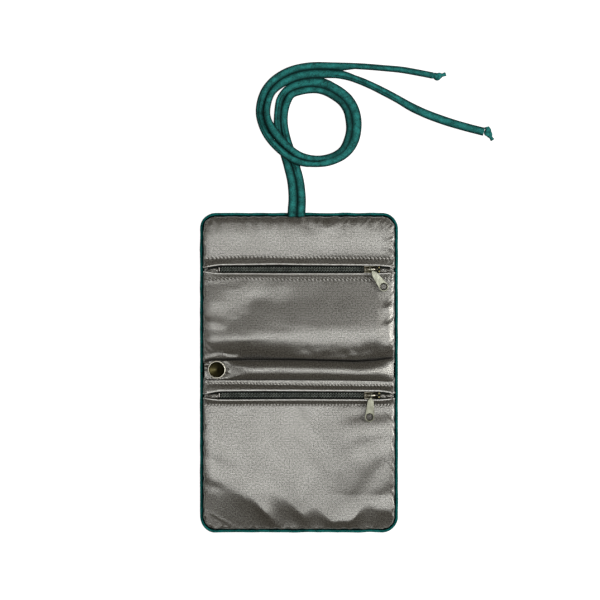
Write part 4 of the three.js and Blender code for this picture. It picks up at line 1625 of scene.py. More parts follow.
@dataclass(frozen=True)
class Slack:
    """A cloth simulation that lets a sewn sheet buckle a little, as spare cloth does."""

    spare: float = 0.012
    limit: float = 0.24
    every: int = 4
    frames: int = 18
    scale: float = 0.01
    quality: int = 6
    mass: float = 0.2
    stiffness: float = 20.0
    shear: float = 8.0
    bending: float = 2.0
    smoothing: int = 5
    reach: int = 2

    def coarse(self, count: int) -> Array:
        """Numbers of the grid lines that are simulated."""
        return np.unique(np.append(np.arange(0, count, self.every), count - 1))

    def broad(self, shift: Array) -> Array:
        """The broad swell in the shifts of a grid, without their fine folds.

        Args:
            shift: The shift of each point.

        Returns:
            The shifts, averaged again and again over their neighbours.
        """
        swell, window = shift, range(2 * self.reach + 1)
        for _ in range(self.smoothing):
            for axis, count in enumerate(shift.shape):
                room = [(0, 0), (0, 0)]
                room[axis] = (self.reach, self.reach)
                wide = np.pad(swell, room, mode="edge")
                swell = sum(wide.take(range(i, i + count), axis) for i in window) / len(window)
        return swell

    def lift(self, points: Array, held: Array) -> Array:
        """How far each point of a sheet is lifted by its spare cloth.

        Args:
            points: Rows of points in millimetres.
            held: Whether each point is sewn down.

        Returns:
            The lift of each point in millimetres.
        """
        rows, columns = self.coarse(points.shape[0]), self.coarse(points.shape[1])
        rest = points[np.ix_(rows, columns)] * self.scale
        sheet = new_object("slack_sheet", (rest / MM).reshape(-1, 3), grid_faces(len(rows), len(columns)))
        sewn = held[np.ix_(rows, columns)].ravel()
        group = sheet.vertex_groups.new(name="sewn")
        group.add([int(i) for i in np.flatnonzero(sewn)], 1.0, "REPLACE")
        cloth = sheet.modifiers.new("slack", "CLOTH")
        cloth.settings.quality = self.quality
        cloth.settings.mass = self.mass
        cloth.settings.tension_stiffness = self.stiffness
        cloth.settings.compression_stiffness = self.stiffness
        cloth.settings.shear_stiffness = self.shear
        cloth.settings.bending_stiffness = self.bending
        cloth.settings.vertex_group_mass = group.name
        cloth.settings.shrink_min = -self.spare
        cloth.settings.shrink_max = -self.spare
        cloth.settings.effector_weights.gravity = 0.0
        cloth.collision_settings.use_collision = False
        cloth.point_cache.frame_start, cloth.point_cache.frame_end = 1, self.frames
        scene = bpy.context.scene
        for number in range(1, self.frames + 1):
            scene.frame_set(number)
        ready = sheet.evaluated_get(bpy.context.evaluated_depsgraph_get())
        after = np.zeros(rest.size)
        ready.data.vertices.foreach_get("co", after)
        shift = (after.reshape(rest.shape) - rest)[..., 2] / self.scale
        bpy.data.objects.remove(sheet)
        scene.frame_set(1)
        fine = shift - self.broad(shift)
        fine *= self.limit / max(float(np.abs(fine).max()), self.limit)
        across = np.stack([np.interp(np.arange(points.shape[1]), columns, row) for row in fine])
        return np.stack([np.interp(np.arange(points.shape[0]), rows, line) for line in across.T], axis=1)


# How far the rolled edge goes back and down, row by row
ROLLED_EDGE = ((-0.02, 0.05), (-0.20, 0.18), (-0.30, 0.40), (-0.22, 0.62), (0.2, 0.78), (1.1, 0.84))


@dataclass
class SatinPanel:
    """A satin panel sewn down round its edge, with a rolled hem along a zip."""

    name: str
    cad: str
    body: Body
    seam: float
    lip: Knots
    row: Knots
    lip_level: float = 6.4
    hem_lift: float = 0.6
    hem_curve: float = 1.0
    lip_width: float = 1.2
    side_run: float = 6.0
    side_share: float = 0.2
    side_level: float = 4.75
    seam_level: float = 2.3
    roll: float = 1.3
    overhang: float = 0.72
    edge_wave: float = 0.22
    rows: int = 90
    hem_rows: int = 36
    thickness: float = 0.42
    stitch_pitch: float = 2.45
    stitch_depth: float = 0.62
    stitch_lean: float = 0.9
    seed: int = 1
    folds: Sequence[Fold] = ()
    slack: Slack | None = None

    @property
    def way(self) -> int:
        """1 where the panel lies beyond its zip, -1 where it lies before it."""
        return 1 if self.seam > self.lip[0][1] else -1

    @property
    def row_level(self) -> float:
        """Height of the cloth at its stitch row."""
        return self.lip_level + self.hem_lift

    def from_lip(self, x: Array, y: Array) -> Array:
        """Distance from the rolled edge along the zip."""
        return (y - traced(x, self.lip)) * self.way

    def from_row(self, x: Array, y: Array) -> Array:
        """Distance beyond the stitch row."""
        return (y - traced(x, self.row)) * self.way

    def main(self, x: Array, y: Array, past: Array) -> Array:
        """Height of the cloth beyond the stitch row; each panel has its own."""
        raise NotImplementedError

    def top(self, x: Array, y: Array) -> Array:
        """Height of the panel's face.

        Args:
            x: Places across.
            y: Places along.

        Returns:
            The height at each place.
        """
        o, past = self.from_lip(x, y), self.from_row(x, y)
        share = np.clip((o - self.lip_width) / np.maximum(o - past - self.lip_width, 0.8), 0.0, 1.0)
        hem = self.lip_level + self.hem_lift * share**self.hem_curve + 0.07 * wave(x, 17.0, self.seed + 40)
        beyond = step(past, -0.5, 0.5)
        z = hem * (1 - beyond) + self.main(x, y, past) * beyond
        for fold in self.folds:
            z += fold.lift(x, y) * step(past, -1.0, 1.5)
        z += 0.02 * ripple(x, y, 15.0, self.seed + 45)
        z = self.sewn(x, y, z)
        beat = (x + self.stitch_lean * self.way * past) / self.stitch_pitch
        pull = (0.5 + 0.5 * np.cos(2 * math.pi * beat)) ** 2.5 - 0.3
        return z - self.stitch_depth * pull * hump(past - 0.2, 0.8) * step(edge_distance(x, y), 0.5, 3.0)

    def sewn(self, x: Array, y: Array, z: Array) -> Array:
        """Brings the cloth down to its seam, with gathers along it.

        Args:
            x: Places across.
            y: Places along.
            z: Heights without the seam.

        Returns:
            The heights with the seam.
        """
        along = x + np.tanh(x / 30.0) * (PANEL_FAR - np.abs(y))
        d = np.clip(edge_distance(x, y) + self.over(along), 0.0, None)
        lip_share = step(self.from_lip(x, y), 0.5, 4.0)
        gather = 0.17 * (1 - 0.7 * step(-y, 92.0, 106.0)) * wave(along, 7.5, self.seed + 43)
        gather += 0.07 * wave(along, 3.6, self.seed + 44) * np.exp(-d / 2.0)
        z = z + gather * np.exp(-d / 3.2) * lip_share
        share = 1 - self.side_share + self.side_share * rise(d, self.side_run)
        z = self.side_level + (z - self.side_level) * share
        notch = np.clip(wave(along + 31.0, 10.0, self.seed + 47), -0.3, 1.1)
        t = np.clip(d / (self.roll * (1 + 0.9 * notch * lip_share)), 0.0, 1.0)
        return self.seam_level + (z - self.seam_level) * np.sqrt(1 - (1 - t) ** 2.3)

    def over(self, along: Array) -> Array:
        """How far the uneven edge goes past the sewing line."""
        return self.overhang + self.edge_wave * wave(along, 10.0, self.seed + 48)

    def gloss(self, points: Array) -> Array:
        """Where a highlight is painted into the cloth's colour: along its rolled edge and its right rim.

        Args:
            points: The panel's points.

        Returns:
            A share for each point.
        """
        x, y = points[..., 0], points[..., 1]
        lip = hump(self.from_lip(x, y) - 0.5, 0.55) * (0.8 + 0.2 * wave(x, 6.0, self.seed + 49))
        rim = hump(edge_distance(x, y) + self.overhang - 0.9, 0.7) * step(x, 50.0, 68.0)
        return lip + 0.35 * rim

    def shares(self) -> Array:
        """Places across as shares of half the width, in step with the stitches.

        Returns:
            The shares, from left to right.
        """
        reach = PANEL_HALF + self.overhang
        spacing = self.stitch_pitch / 6
        inner = np.arange(0.0, reach - 2.6, spacing)
        rim = reach - (reach - inner[-1]) * (1 - np.sin(np.linspace(0, math.pi / 2, 11)))[1:]
        half = np.concatenate([inner, rim]) / reach
        return np.concatenate([-half[:0:-1], half])

    def points(self) -> Array:
        """The panel's points in rows from its seam to the rolled edge.

        Returns:
            Rows of points in millimetres.
        """
        slit = float(np.mean([y for _, y in self.lip]))
        near = 7.0 + abs(float(np.mean([y for _, y in self.row])) - slit)
        near = min(near, abs(self.seam - slit) - 1.0)
        length = abs(self.seam - slit) - near
        far = 1 - np.cos(np.linspace(0, math.pi / 2, self.rows))
        hem = slit + self.way * np.linspace(near, 0.42, self.hem_rows)[1:]
        y = np.concatenate([self.seam - self.way * far * length, hem])[:, None]
        share = self.shares()[None, :]
        run = PANEL_HALF + np.tanh(PANEL_HALF / 30.0) * (PANEL_FAR - np.abs(y))
        x = share * (panel_reach(y) + np.where(share < 0, self.over(-run), self.over(run)))
        fade = 1 - step(np.abs(y - slit), 0.5, 14.0)
        y = y + (traced(x, self.lip) - slit) * fade
        face = np.stack([x, y, self.top(x, y)], axis=-1)
        if self.slack is not None:
            past, d = self.from_row(x, y), edge_distance(x, y)
            face[..., 2] += self.slack.lift(face, (past < 0.5) | (d < 0.3)) * step(past, 0.5, 3.0)
        edge = face[-1]
        rolled = []
        for back, drop in ROLLED_EDGE:
            row = edge.copy()
            row[:, 1] = traced(edge[:, 0], self.lip) + self.way * (0.38 + back)
            row[:, 2] -= drop * rise(PANEL_HALF - np.abs(edge[:, 0]), 6.0)
            rolled.append(row)
        return np.concatenate([face, np.stack(rolled)])

    def build(self, finishes: Finishes) -> Piece:
        """Builds and dresses the panel.

        Args:
            finishes: The materials.

        Returns:
            The panel.
        """
        points = self.points()
        uv = points[..., :2].copy()
        step_length = np.linalg.norm(np.diff(points, axis=0), axis=-1)
        uv[1:, :, 1] = points[0, :, 1] - self.way * np.cumsum(step_length.mean(axis=1))[:, None]
        # Painted highlight along the rolled edge and the right rim.
        made = mark(cloth_grid(self.name, points, uv * MM), "gloss", self.gloss(points))
        thicken(made, self.thickness)
        dress(made, finishes.satin)
        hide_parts(self.cad)
        self.attach(made)
        return made

    def attach(self, made: Piece) -> None:
        """Lets the panel ride on its body."""
        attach(made, self.body.value)

    def stitch_row(self) -> Array:
        """The middle of each stitch along the panel's row.

        Returns:
            Points in millimetres.
        """
        last = int((PANEL_HALF - 3.0) / self.stitch_pitch)
        x = (np.arange(-last, last) + 0.5) * self.stitch_pitch
        y = traced(x, self.row) + self.way * 0.15
        return np.column_stack([x, y, self.top(x, y) + 0.12])


class Header(SatinPanel):
    """The padded header beyond the upper zip."""

    crown: float = 1.6
    crown_run: float = 18.0
    end_drop: float = 0.86
    start: Knots = (
        (-72, 102), (-63, 104), (-48, 105.5), (-41, 104), (-33, 105), (-22, 107), (-14, 106), (-6, 108.5),
        (3, 108), (8, 105), (12, 108.5), (17, 110), (25, 107), (36, 106.5), (41, 109.5), (50, 108),
        (57, 105.5), (67, 103), (72, 102),
    )

    def main(self, x: Array, y: Array, past: Array) -> Array:
        """Height of the header: a flat field that falls to the far seam and to the stitches.

        Args:
            x: Places across.
            y: Places along.
            past: Distance beyond the stitch row.

        Returns:
            The height at each place.
        """
        start = traced(x, self.start, 2.4)
        fall = np.clip((y - start) / (FAR_SEAM - start), 0.0, 1.2)
        ahead = np.clip(past, 0, None)
        drop = self.end_drop * (1 + 0.42 * wave(x, 11.0, 29))
        z = self.row_level + self.crown * rise(ahead, self.crown_run) - drop * fall**1.7
        z += 0.08 * ripple(x, y, 34.0, 3)
        return z - 0.5 * np.exp(-ahead / 2.2) * step(x, -4, 36)


TUCKED = ((7.0, 4.0), (9.8, 4.2))
UPPER_STATIONS: Sequence[tuple[float, Knots]] = (
    (-72.0, (
        *TUCKED, (10.4, 6.2), (11.0, 7.2), (14.0, 7.5), (15.4, 7.8), (17.2, 8.2), (21.8, 9.1), (24, 9.5),
        (26.3, 9.6), (33, 9.1), (39.5, 8.9), (44, 8.5), (53.5, 8.2), (60, 7.7), (67, 7.0), (71, 6.8),
    )),
    (-63.0, (
        *TUCKED, (10.4, 6.4), (11.0, 7.35), (12.5, 7.5), (14.4, 7.62), (15.4, 7.9), (17.2, 8.4),
        (19.5, 8.95), (21.8, 9.5), (24, 9.92), (26.3, 10.05), (28.6, 9.9), (33, 9.4), (35.4, 9.28),
        (39.5, 9.2), (44, 8.8), (46, 8.7), (53.5, 8.55), (58, 8.1), (67, 7.1), (71, 6.85),
    )),
    (-48.0, (
        *TUCKED, (10.5, 6.8), (11.4, 7.5), (13.2, 7.65), (14.6, 7.85), (15.8, 8.35), (17.2, 8.85),
        (19.5, 9.45), (21.8, 10.02), (24, 10.5), (25.2, 10.68), (26.5, 10.72), (28.6, 10.6), (30.8, 10.37),
        (33, 10.1), (40, 9.2), (47, 8.65), (60, 7.85), (63, 7.7), (68, 7.1), (71, 6.85),
    )),
    (-41.0, (
        *TUCKED, (10.6, 5.8), (11.6, 6.3), (13.8, 7.35), (16.1, 8.3), (18.4, 9.1), (20.6, 9.75),
        (22.9, 10.35), (24.8, 10.75), (26.2, 10.85), (28.6, 10.72), (33, 10.25), (44, 8.9), (52, 8.2),
        (60, 7.75), (66, 7.35), (71, 6.85),
    )),
    (-33.0, (
        *TUCKED, (10.6, 5.9), (11.6, 6.4), (13.8, 7.55), (16.1, 8.5), (18.4, 9.25), (20.6, 9.85),
        (22.9, 10.35), (25.2, 10.8), (27.5, 10.9), (28.6, 10.85), (30.8, 10.68), (33, 10.45), (35, 10.2),
        (53.5, 7.95), (56, 7.7), (58, 7.58), (62.6, 7.5), (65, 7.35), (71, 6.85),
    )),
    (-14.0, (
        *TUCKED, (10.4, 7.0), (11.6, 7.6), (13.8, 8.46), (16.1, 9.15), (18.4, 9.74), (20.6, 10.25),
        (22.9, 10.68), (25.2, 10.98), (28, 11.1), (30.8, 10.95), (35, 10.5), (37.6, 10.26), (53.5, 8.32),
        (56, 8.1), (65, 7.45), (71, 6.85),
    )),
    (4.5, (
        *TUCKED, (10.4, 8.4), (11.6, 8.85), (13.8, 9.38), (16.1, 9.84), (18.4, 10.3), (20.6, 10.71),
        (22.9, 11.03), (25.2, 11.25), (28, 11.35), (31, 11.25), (36, 10.85), (58, 8.2), (71, 6.85),
    )),
    (23.0, (
        *TUCKED, (10.4, 8.4), (11.6, 8.87), (13.8, 9.42), (16.1, 9.98), (18.4, 10.5), (20.6, 10.95),
        (22.9, 11.25), (25.2, 11.43), (28, 11.5), (30.8, 11.46), (33, 11.33), (35.4, 11.1), (71, 6.85),
    )),
    (42.0, (
        *TUCKED, (10.4, 8.1), (11.6, 8.62), (13.8, 9.28), (16.1, 9.86), (18.4, 10.4), (20.6, 10.84),
        (22.9, 11.15), (25.2, 11.35), (28, 11.45), (31, 11.4), (36, 11.0), (71, 6.85),
    )),
    (57.0, (
        *TUCKED, (10.4, 6.3), (11.6, 7.3), (13.8, 8.25), (16.1, 8.94), (18.4, 9.57), (20.6, 10.13),
        (22.9, 10.6), (25.2, 10.92), (27.4, 11.1), (29.5, 11.2), (33, 11.05), (38, 10.6), (71, 6.85),
    )),
    (67.0, (
        *TUCKED, (10.4, 6.8), (11.6, 7.35), (13.8, 8.0), (16.1, 8.93), (18.4, 9.5), (20.6, 9.9),
        (22.9, 10.1), (25.2, 10.17), (27, 10.2), (30, 10.15), (34.6, 9.9), (40, 9.4), (47.5, 8.9),
        (55, 8.0), (71, 6.7),
    )),
    (72.0, (
        *TUCKED, (10.4, 6.8), (11.6, 7.3), (13.8, 7.8), (16.1, 8.5), (20.6, 9.3), (25.2, 9.6), (30, 9.5),
        (40, 8.9), (55, 7.7), (71, 6.6),
    )),
)


RING_BAR_EDGE: Knots = (
    (-71.3, 8.2), (-66, 9.2), (-56, 9.4), (-46, 9.6), (0, 9.7), (23, 9.1), (42, 8.5), (58, 9.2), (66, 10.5),
    (71.4, 11.2),
)


class UpperPocket(SatinPanel):
    """The pocket front between the upper zip and the ring bar."""

    swell: float = 1.18
    swell_from: float = 6.9
    shelf: Knots = ((-73, 11.3), (-67.1, 11.7), (-62.7, 13.6), (-57.8, 13.9), (-51.6, 12.1), (-46, 10.2))

    def main(self, x: Array, y: Array, past: Array) -> Array:
        """Height of the pocket: a long slope up to a crest, then a drop to the fold.

        Args:
            x: Places across.
            y: Places along.
            past: Distance beyond the stitch row; not used.

        Returns:
            The height at each place.
        """
        under_bar = (traced(x, RING_BAR_EDGE, 1.4) - 9.7) * (1 - step(y, 11.0, 22.0))
        z = lofted(x, y - under_bar, UPPER_STATIONS, 0.5)
        z = np.where(z > self.swell_from, self.swell_from + self.swell * (z - self.swell_from), z)
        z += 0.04 * ripple(x * 0.6, y, 30.0, 9) * step(y, 12.0, 20.0) + 0.15 * step(y, 55.0, 70.0)
        z += 0.16 * ripple(x, y, 8.0, 19) * hump(y - 14.5, 4.5) * step(x, -8.0, 12.0)
        return z + 0.32 * hump(y - traced(x, self.shelf, 1.6), 1.7) * (1 - step(x, -58.0, -47.0))

    def attach(self, made: Piece) -> None:
        """Bakes the pocket's place into its mesh."""
        fold_over(made)


class Strip(SatinPanel):
    """The narrow strip between the ring bar and the lower zip."""

    def main(self, x: Array, y: Array, past: Array) -> Array:
        """Height of the strip: flat behind the stitches, then tucked under the bar."""
        return self.row_level + 0.08 * wave(x, 11.0, 33) - 1.9 * step(y, -5.6, -3.8)

    def attach(self, made: Piece) -> None:
        """Bakes the strip's place into its mesh."""
        fold_over(made)


class LowerPocket(SatinPanel):
    """The pocket front beyond the lower zip, with gathers along its far seam."""

    low: float = 4.3
    hem_step: float = 0.3
    swell: float = 1.5
    swell_run: float = 72.0
    right_swell: float = 3.1
    right_run: float = 34.0
    right_slope: float = 0.078
    middle_slope: float = 0.026
    left_swell: float = 0.7
    left_run: float = 60.0
    brow: Knots = (
        (-72.6, -73.5), (-68, -77.5), (-63.5, -81.0), (-53.7, -86.0), (-44.6, -90.0), (-35.5, -93.6),
        (-30.2, -98.4), (-26.5, -106), (-24.2, -110.5), (-21.9, -103.7), (-18.1, -96.9), (-13.6, -95.4),
        (-6.8, -98.4), (-2.3, -103.7), (1.5, -108.6), (5.3, -108.3), (9.1, -105.2), (14.4, -106),
        (19.7, -109.8), (24.9, -113.6), (31, -112.4), (38.6, -113.0), (42.0, -110.0), (47.8, -101.8),
        (52.1, -100.0), (56.3, -100.8), (59.5, -102.6), (67.1, -103.2), (71.8, -105.5),
    )

    def main(self, x: Array, y: Array, past: Array) -> Array:
        """Height of the pocket: a broad flat field, then a brow and a slope to the seam.

        Args:
            x: Places across.
            y: Places along.
            past: Distance beyond the stitch row.

        Returns:
            The height at each place.
        """
        ahead = np.clip(past, 0, None)
        z = self.row_level + self.hem_step * (1 - np.exp(-ahead / 0.5))
        z += self.swell * rise(ahead, self.swell_run)
        z += 0.10 * ripple(x, y, 40.0, 13)
        right = self.right_swell * rise(ahead, self.right_run)
        right = right - self.right_slope * np.clip(-46.0 - y, 0, 46.0)
        z += step(x, 5.0, 50.0) * right
        z -= self.middle_slope * np.clip(-40.0 - y, 0, None) * step(x, -35, 15) * (1 - 0.7 * step(x, 25, 52))
        z += self.left_swell * rise(ahead, self.left_run) * (1 - step(x, -60.0, -25.0))
        lean = x + 0.55 * (y + 105.0) * hump(x + 18, 26)
        brow = traced(lean, self.brow, 2.0)
        foot = PANEL_FAR + 0.3
        down = np.clip((y + foot) / (brow + foot), 0, 3)
        softness = 0.11 + 0.25 * step(x, -50, -20) * (1 - 0.8 * step(x, 34, 46))
        return self.low + (z - self.low) * lesser(down, np.ones_like(down), softness)


# Zips


def ended(tree: Tree, made: Socket, given: Any, result: bpy.types.Node) -> Tree:
    """Ends a geometry tree with real, smooth geometry in its material.

    Args:
        tree: The tree.
        made: The geometry.
        given: The sockets of the tree's input node.
        result: The tree's output node.

    Returns:
        The same tree.
    """
    real = node(tree, "GeometryNodeRealizeInstances", {0: made}).outputs[0]
    smooth = node(tree, "GeometryNodeSetShadeSmooth", {0: real}).outputs[0]
    dressed = node(tree, "GeometryNodeSetMaterial", {"Geometry": smooth, "Material": given["Material"]})
    wire(tree, result, {0: dressed.outputs[0]})
    return tree


def moved(tree: Tree, made: Socket, **how: Any) -> Socket:
    """Geometry that is moved, turned or scaled."""
    return node(tree, "GeometryNodeTransform", {"Geometry": made, **how}).outputs[0]


def coil_tree() -> Tree:
    """Geometry nodes for the two rows of a zip's coil.

    Returns:
        The node tree.
    """
    tree, given, result = new_group(
        "zip_coil_rows", "GeometryNodeTree",
        {"Geometry": None, "Turns": 90.0, "Row Length": 0.1186, "Half Width": 0.0006, "Half Height": 0.0005,
         "Thread Radius": 0.0003, "Row Offset": 0.0014, "Level": 0.006, "Material": None},
        ("Geometry",),
    )
    turn = node(tree, "GeometryNodeCurveSpiral", {
        "Resolution": 10, "Rotations": given["Turns"], "Start Radius": 1.0, "End Radius": 1.0,
        "Height": given["Row Length"],
    }).outputs[0]
    turn = moved(tree, turn, Scale=combined(tree, given["Half Height"], given["Half Width"], 1.0))
    laid = moved(tree, turn, Rotation=(0.0, math.pi / 2, 0.0))
    ring = node(
        tree, "GeometryNodeCurvePrimitiveCircle", {"Resolution": 7, "Radius": given["Thread Radius"]}
    )
    sweep = {"Curve": laid, "Profile Curve": ring.outputs[0], "Fill Caps": True}
    row = node(tree, "GeometryNodeCurveToMesh", sweep).outputs[0]
    half = maths(tree, "MULTIPLY", given["Row Length"], -0.5)
    both = tree.nodes.new("GeometryNodeJoinGeometry")
    for way in (1.0, -1.0):
        aside = maths(tree, "MULTIPLY", given["Row Offset"], way)
        place = combined(tree, half, aside, given["Level"])
        tree.links.new(moved(tree, row, Translation=place), both.inputs[0])
    return ended(tree, both.outputs[0], given, result)


def stitch_tree() -> Tree:
    """Geometry nodes that lay stitches along lines.

    Returns:
        The node tree.
    """
    tree, given, result = new_group(
        "stitch_rows", "GeometryNodeTree",
        {
            "Geometry": None, "Stitch Length": 0.0018, "Thread Radius": 0.0002, "Slant": 0.0,
            "Material": None,
        },
        ("Geometry",),
    )
    line = node(tree, "GeometryNodeMeshToCurve", {0: given["Geometry"]}).outputs[0]
    ahead = node(tree, "GeometryNodeInputTangent").outputs[0]
    along = node(tree, "FunctionNodeAlignRotationToVector", {"Vector": ahead}, axis="X").outputs[0]
    lean = {"Axis": (0.0, 0.0, 1.0), "Angle": given["Slant"]}
    slant = node(tree, "FunctionNodeAxisAngleToRotation", lean).outputs[0]
    both = {"Rotation": along, "Rotate By": slant}
    turn = node(tree, "FunctionNodeRotateRotation", both, rotation_space="LOCAL").outputs[0]
    ball = node(tree, "GeometryNodeMeshUVSphere", {"Segments": 8, "Rings": 5, "Radius": 1.0}).outputs[0]
    half = maths(tree, "MULTIPLY", given["Stitch Length"], 0.5)
    size = combined(tree, half, given["Thread Radius"], given["Thread Radius"])
    stitch = moved(tree, ball, Scale=size)
    laid = node(
        tree, "GeometryNodeInstanceOnPoints", {"Points": line, "Instance": stitch, "Rotation": turn}
    )
    return ended(tree, laid.outputs[0], given, result)


def grown(made: Piece, tree: Tree, **values: Any) -> Piece:
    """Runs a geometry node tree on a piece and keeps the result as its mesh.

    Args:
        made: The piece that carries the lines or points.
        tree: The node tree.
        values: Values for the tree's inputs, with _ for a space.

    Returns:
        The same piece with a plain mesh.
    """
    modifier = made.modifiers.new(tree.name, "NODES")
    modifier.node_group = tree
    sockets = {item.name: item.identifier for item in tree.interface.items_tree if item.in_out == "INPUT"}
    for key, value in values.items():
        modifier[sockets[key.replace("_", " ")]] = value
    mesh = final_mesh(made)
    made.modifiers.remove(modifier)
    made.data = mesh
    return made


def rounded_block(name: str, low: Sequence[float], high: Sequence[float], radius: float) -> Piece:
    """A block with round edges.

    Args:
        name: Name of the piece.
        low: Its low corner.
        high: Its high corner.
        radius: Radius of its edges.

    Returns:
        The new object.
    """
    mesh = bmesh.new()
    bmesh.ops.create_cube(mesh, size=1.0)
    size = [b - a for a, b in zip(low, high)]
    middle = [(a + b) / 2 for a, b in zip(low, high)]
    bmesh.ops.scale(mesh, verts=mesh.verts, vec=[s * MM for s in size])
    bmesh.ops.translate(mesh, verts=mesh.verts, vec=[m * MM for m in middle])
    bmesh.ops.bevel(
        mesh, geom=mesh.edges[:] + mesh.verts[:], offset=radius * MM, segments=3, profile=0.5,
        affect="EDGES",
    )
    data = bpy.data.meshes.new(name)
    mesh.to_mesh(data)
    mesh.free()
    return linked(name, smoothed(data))


@dataclass
class Zip:
    """A coil zip with its tapes, stops, satin end tabs, slider and pull."""

    name: str
    place: float
    body: Body
    yaw: float
    seed: int
    chain_half: float = 61.0
    tape_half: float = 69.0
    tape_level: float = 5.3
    tape_thickness: float = 0.4
    tape_width: float = 4.35
    tab_start: float = 61.15
    tab_length: float = 10.3
    tab_level: float = 4.6
    tab_height: float = 1.5
    tab_thickness: float = 0.3
    coil_middle: float = 0.86
    coil_level: float = 6.0
    coil_turns: float = 58.0
    stop_level: float = 7.1
    hole: float = 2.75
    half_slider: float = 5.1
    slider_x: float = 54.2
    slider_width: Knots = ((-5.1, 2.0), (-4.6, 2.4), (0, 2.6), (3.2, 2.7), (4.4, 2.0), (5.1, 0.9))
    plates: Knots = ((7.85, 1.15), (4.6, 0.05))
    plate_thickness: float = 0.62
    divider: Sequence[tuple[float, float, float]] = ((1.35, -0.45, 4.3), (3.55, 0.45, 7.3))
    flange: Sequence[tuple[float, float, float]] = ((-5.0, 2.1, 5.62), (3.5, 2.45, 7.3))
    bent_edge: float = 0.12
    bridge_half: float = 3.1
    bridge_foot: float = 7.55
    bridge_rise: float = 2.4
    strap_half: tuple[float, float] = (0.62, 0.5)
    bridge_level: float = 9.95
    pull_length: float = 19.8
    pull_end: float = 7.2
    pull_top: float = 4.5
    pull_pitch: float = 1.5
    pull_thickness: float = 1.3
    pull_round: float = 0.25
    neck: Knots = ((0.95, -1.2), (1.0, -2.3), (1.5, -3.0))
    neck_end: float = -3.6
    countersink: Knots = ((2.8, 0.62), (2.15, -0.25), (2.15, -0.55), (2.85, -0.6))
    eye_radius: float = 1.95
    eye_wire: float = 0.42

    def build(self, finishes: Finishes, coil: Tree) -> list[Piece]:
        """Builds every piece of the zip.

        Args:
            finishes: The materials.
            coil: Geometry nodes for the coil.

        Returns:
            The pieces.
        """
        made = [
            self.tapes(finishes), self.teeth(finishes, coil), *self.stops(finishes), *self.tabs(finishes)
        ]
        for piece in made:
            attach(piece, self.body.value)
        slider, pull = self.slider(finishes), self.pull(finishes)
        stem = self.name.replace("_zip", "")
        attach(slider, f"{stem}_slider")
        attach(pull, f"{stem}_pull")
        return [*made, slider, pull]

    def tapes(self, finishes: Finishes) -> Piece:
        """Builds the two woven tapes as one piece.

        Args:
            finishes: The materials.

        Returns:
            The piece.
        """
        parts = []
        for way in (1, -1):
            near, far = sorted((self.place + way * 0.02, self.place + way * self.tape_width))
            low = (-self.tape_half, near, self.tape_level - self.tape_thickness)
            parts.append(rounded_block("tape", low, (self.tape_half, far, self.tape_level), 0.12))
        tapes = joined(f"{self.name}_tapes", parts)
        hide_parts(f"{self.name}_tape_top", f"{self.name}_tape_bottom")
        return dress(tapes, finishes.tape)

    def teeth(self, finishes: Finishes, tree: Tree) -> Piece:
        """Builds the two rows of coil as one piece.

        Args:
            finishes: The materials.
            tree: Geometry nodes of the coil.

        Returns:
            The piece.
        """
        mesh = bpy.data.meshes.new(f"{self.name}_coil")
        rows = linked(f"{self.name}_coil", mesh)
        grown(
            rows, tree, Turns=self.coil_turns, Row_Length=(2 * self.chain_half - 3.6) * MM,
            Half_Width=0.62 * MM, Half_Height=0.36 * MM, Thread_Radius=0.38 * MM,
            Row_Offset=self.coil_middle * MM, Level=self.coil_level * MM, Material=finishes.coil,
        )
        rows.data.transform(Matrix.Translation((0, self.place * MM, 0)))
        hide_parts(f"{self.name}_coil_top", f"{self.name}_coil_bottom")
        return rows

    def stops(self, finishes: Finishes) -> list[Piece]:
        """Builds the pale bottom stop and the two top stops.

        Args:
            finishes: The materials.

        Returns:
            The pieces.
        """
        y, base, top = self.place, self.tape_level + 0.02, self.stop_level
        bottom = rounded_block(
            f"{self.name}_end_stop", (-60.6, y - 1.5, base), (-59.8, y + 1.5, top - 0.2), 0.36
        )
        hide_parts(f"{self.name}_bottom_stop")
        dress(bottom, finishes.stop)
        uppers = []
        for way, row in ((1, "top"), (-1, "bottom")):
            near, far = sorted((y + way * 0.75, y + way * 2.15))
            stop = rounded_block(f"{self.name}_stop_{row}", (59.6, near, base), (61.0, far, top), 0.35)
            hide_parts(f"{self.name}_top_stop_{row}")
            uppers.append(dress(stop, finishes.brass))
        return [bottom, *uppers]

    def tabs(self, finishes: Finishes) -> list[Piece]:
        """Builds the folded satin tabs at both ends of the chain.

        Args:
            finishes: The materials.

        Returns:
            The pieces.
        """
        made = []
        for way, end in ((-1, "left"), (1, "right")):
            u, v = np.meshgrid(np.linspace(0, 1, 40), np.linspace(-1, 1, 29))
            x = self.tab_start + u * self.tab_length
            across = v * (1.9 - 0.5 * u) - 0.75
            fall = 1 - 0.5 * step(u, 0.45, 1.0) - 0.25 * step(-u, -0.10, 0.0)
            roll = np.sqrt(np.clip(1 - np.abs(v) ** 3.2, 0, 1))
            crease = 0.22 * np.cos(2 * math.pi * (u * 1.6 + 0.5 * v)) * (1 - v**2)
            crease += 0.10 * ripple(x, across, 3.4, self.seed + way)
            z = self.tab_level + (self.tab_height * fall + crease * step(u, 0.02, 0.2)) * roll
            points = np.stack([way * x, self.place + across, z], axis=-1)
            tab = cloth_grid(f"{self.name}_tab_{end}", points, points[..., :2] * MM)
            thicken(tab, self.tab_thickness)
            dress(tab, finishes.satin)
            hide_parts(f"{self.name}_end_{end}")
            made.append(tab)
        return made

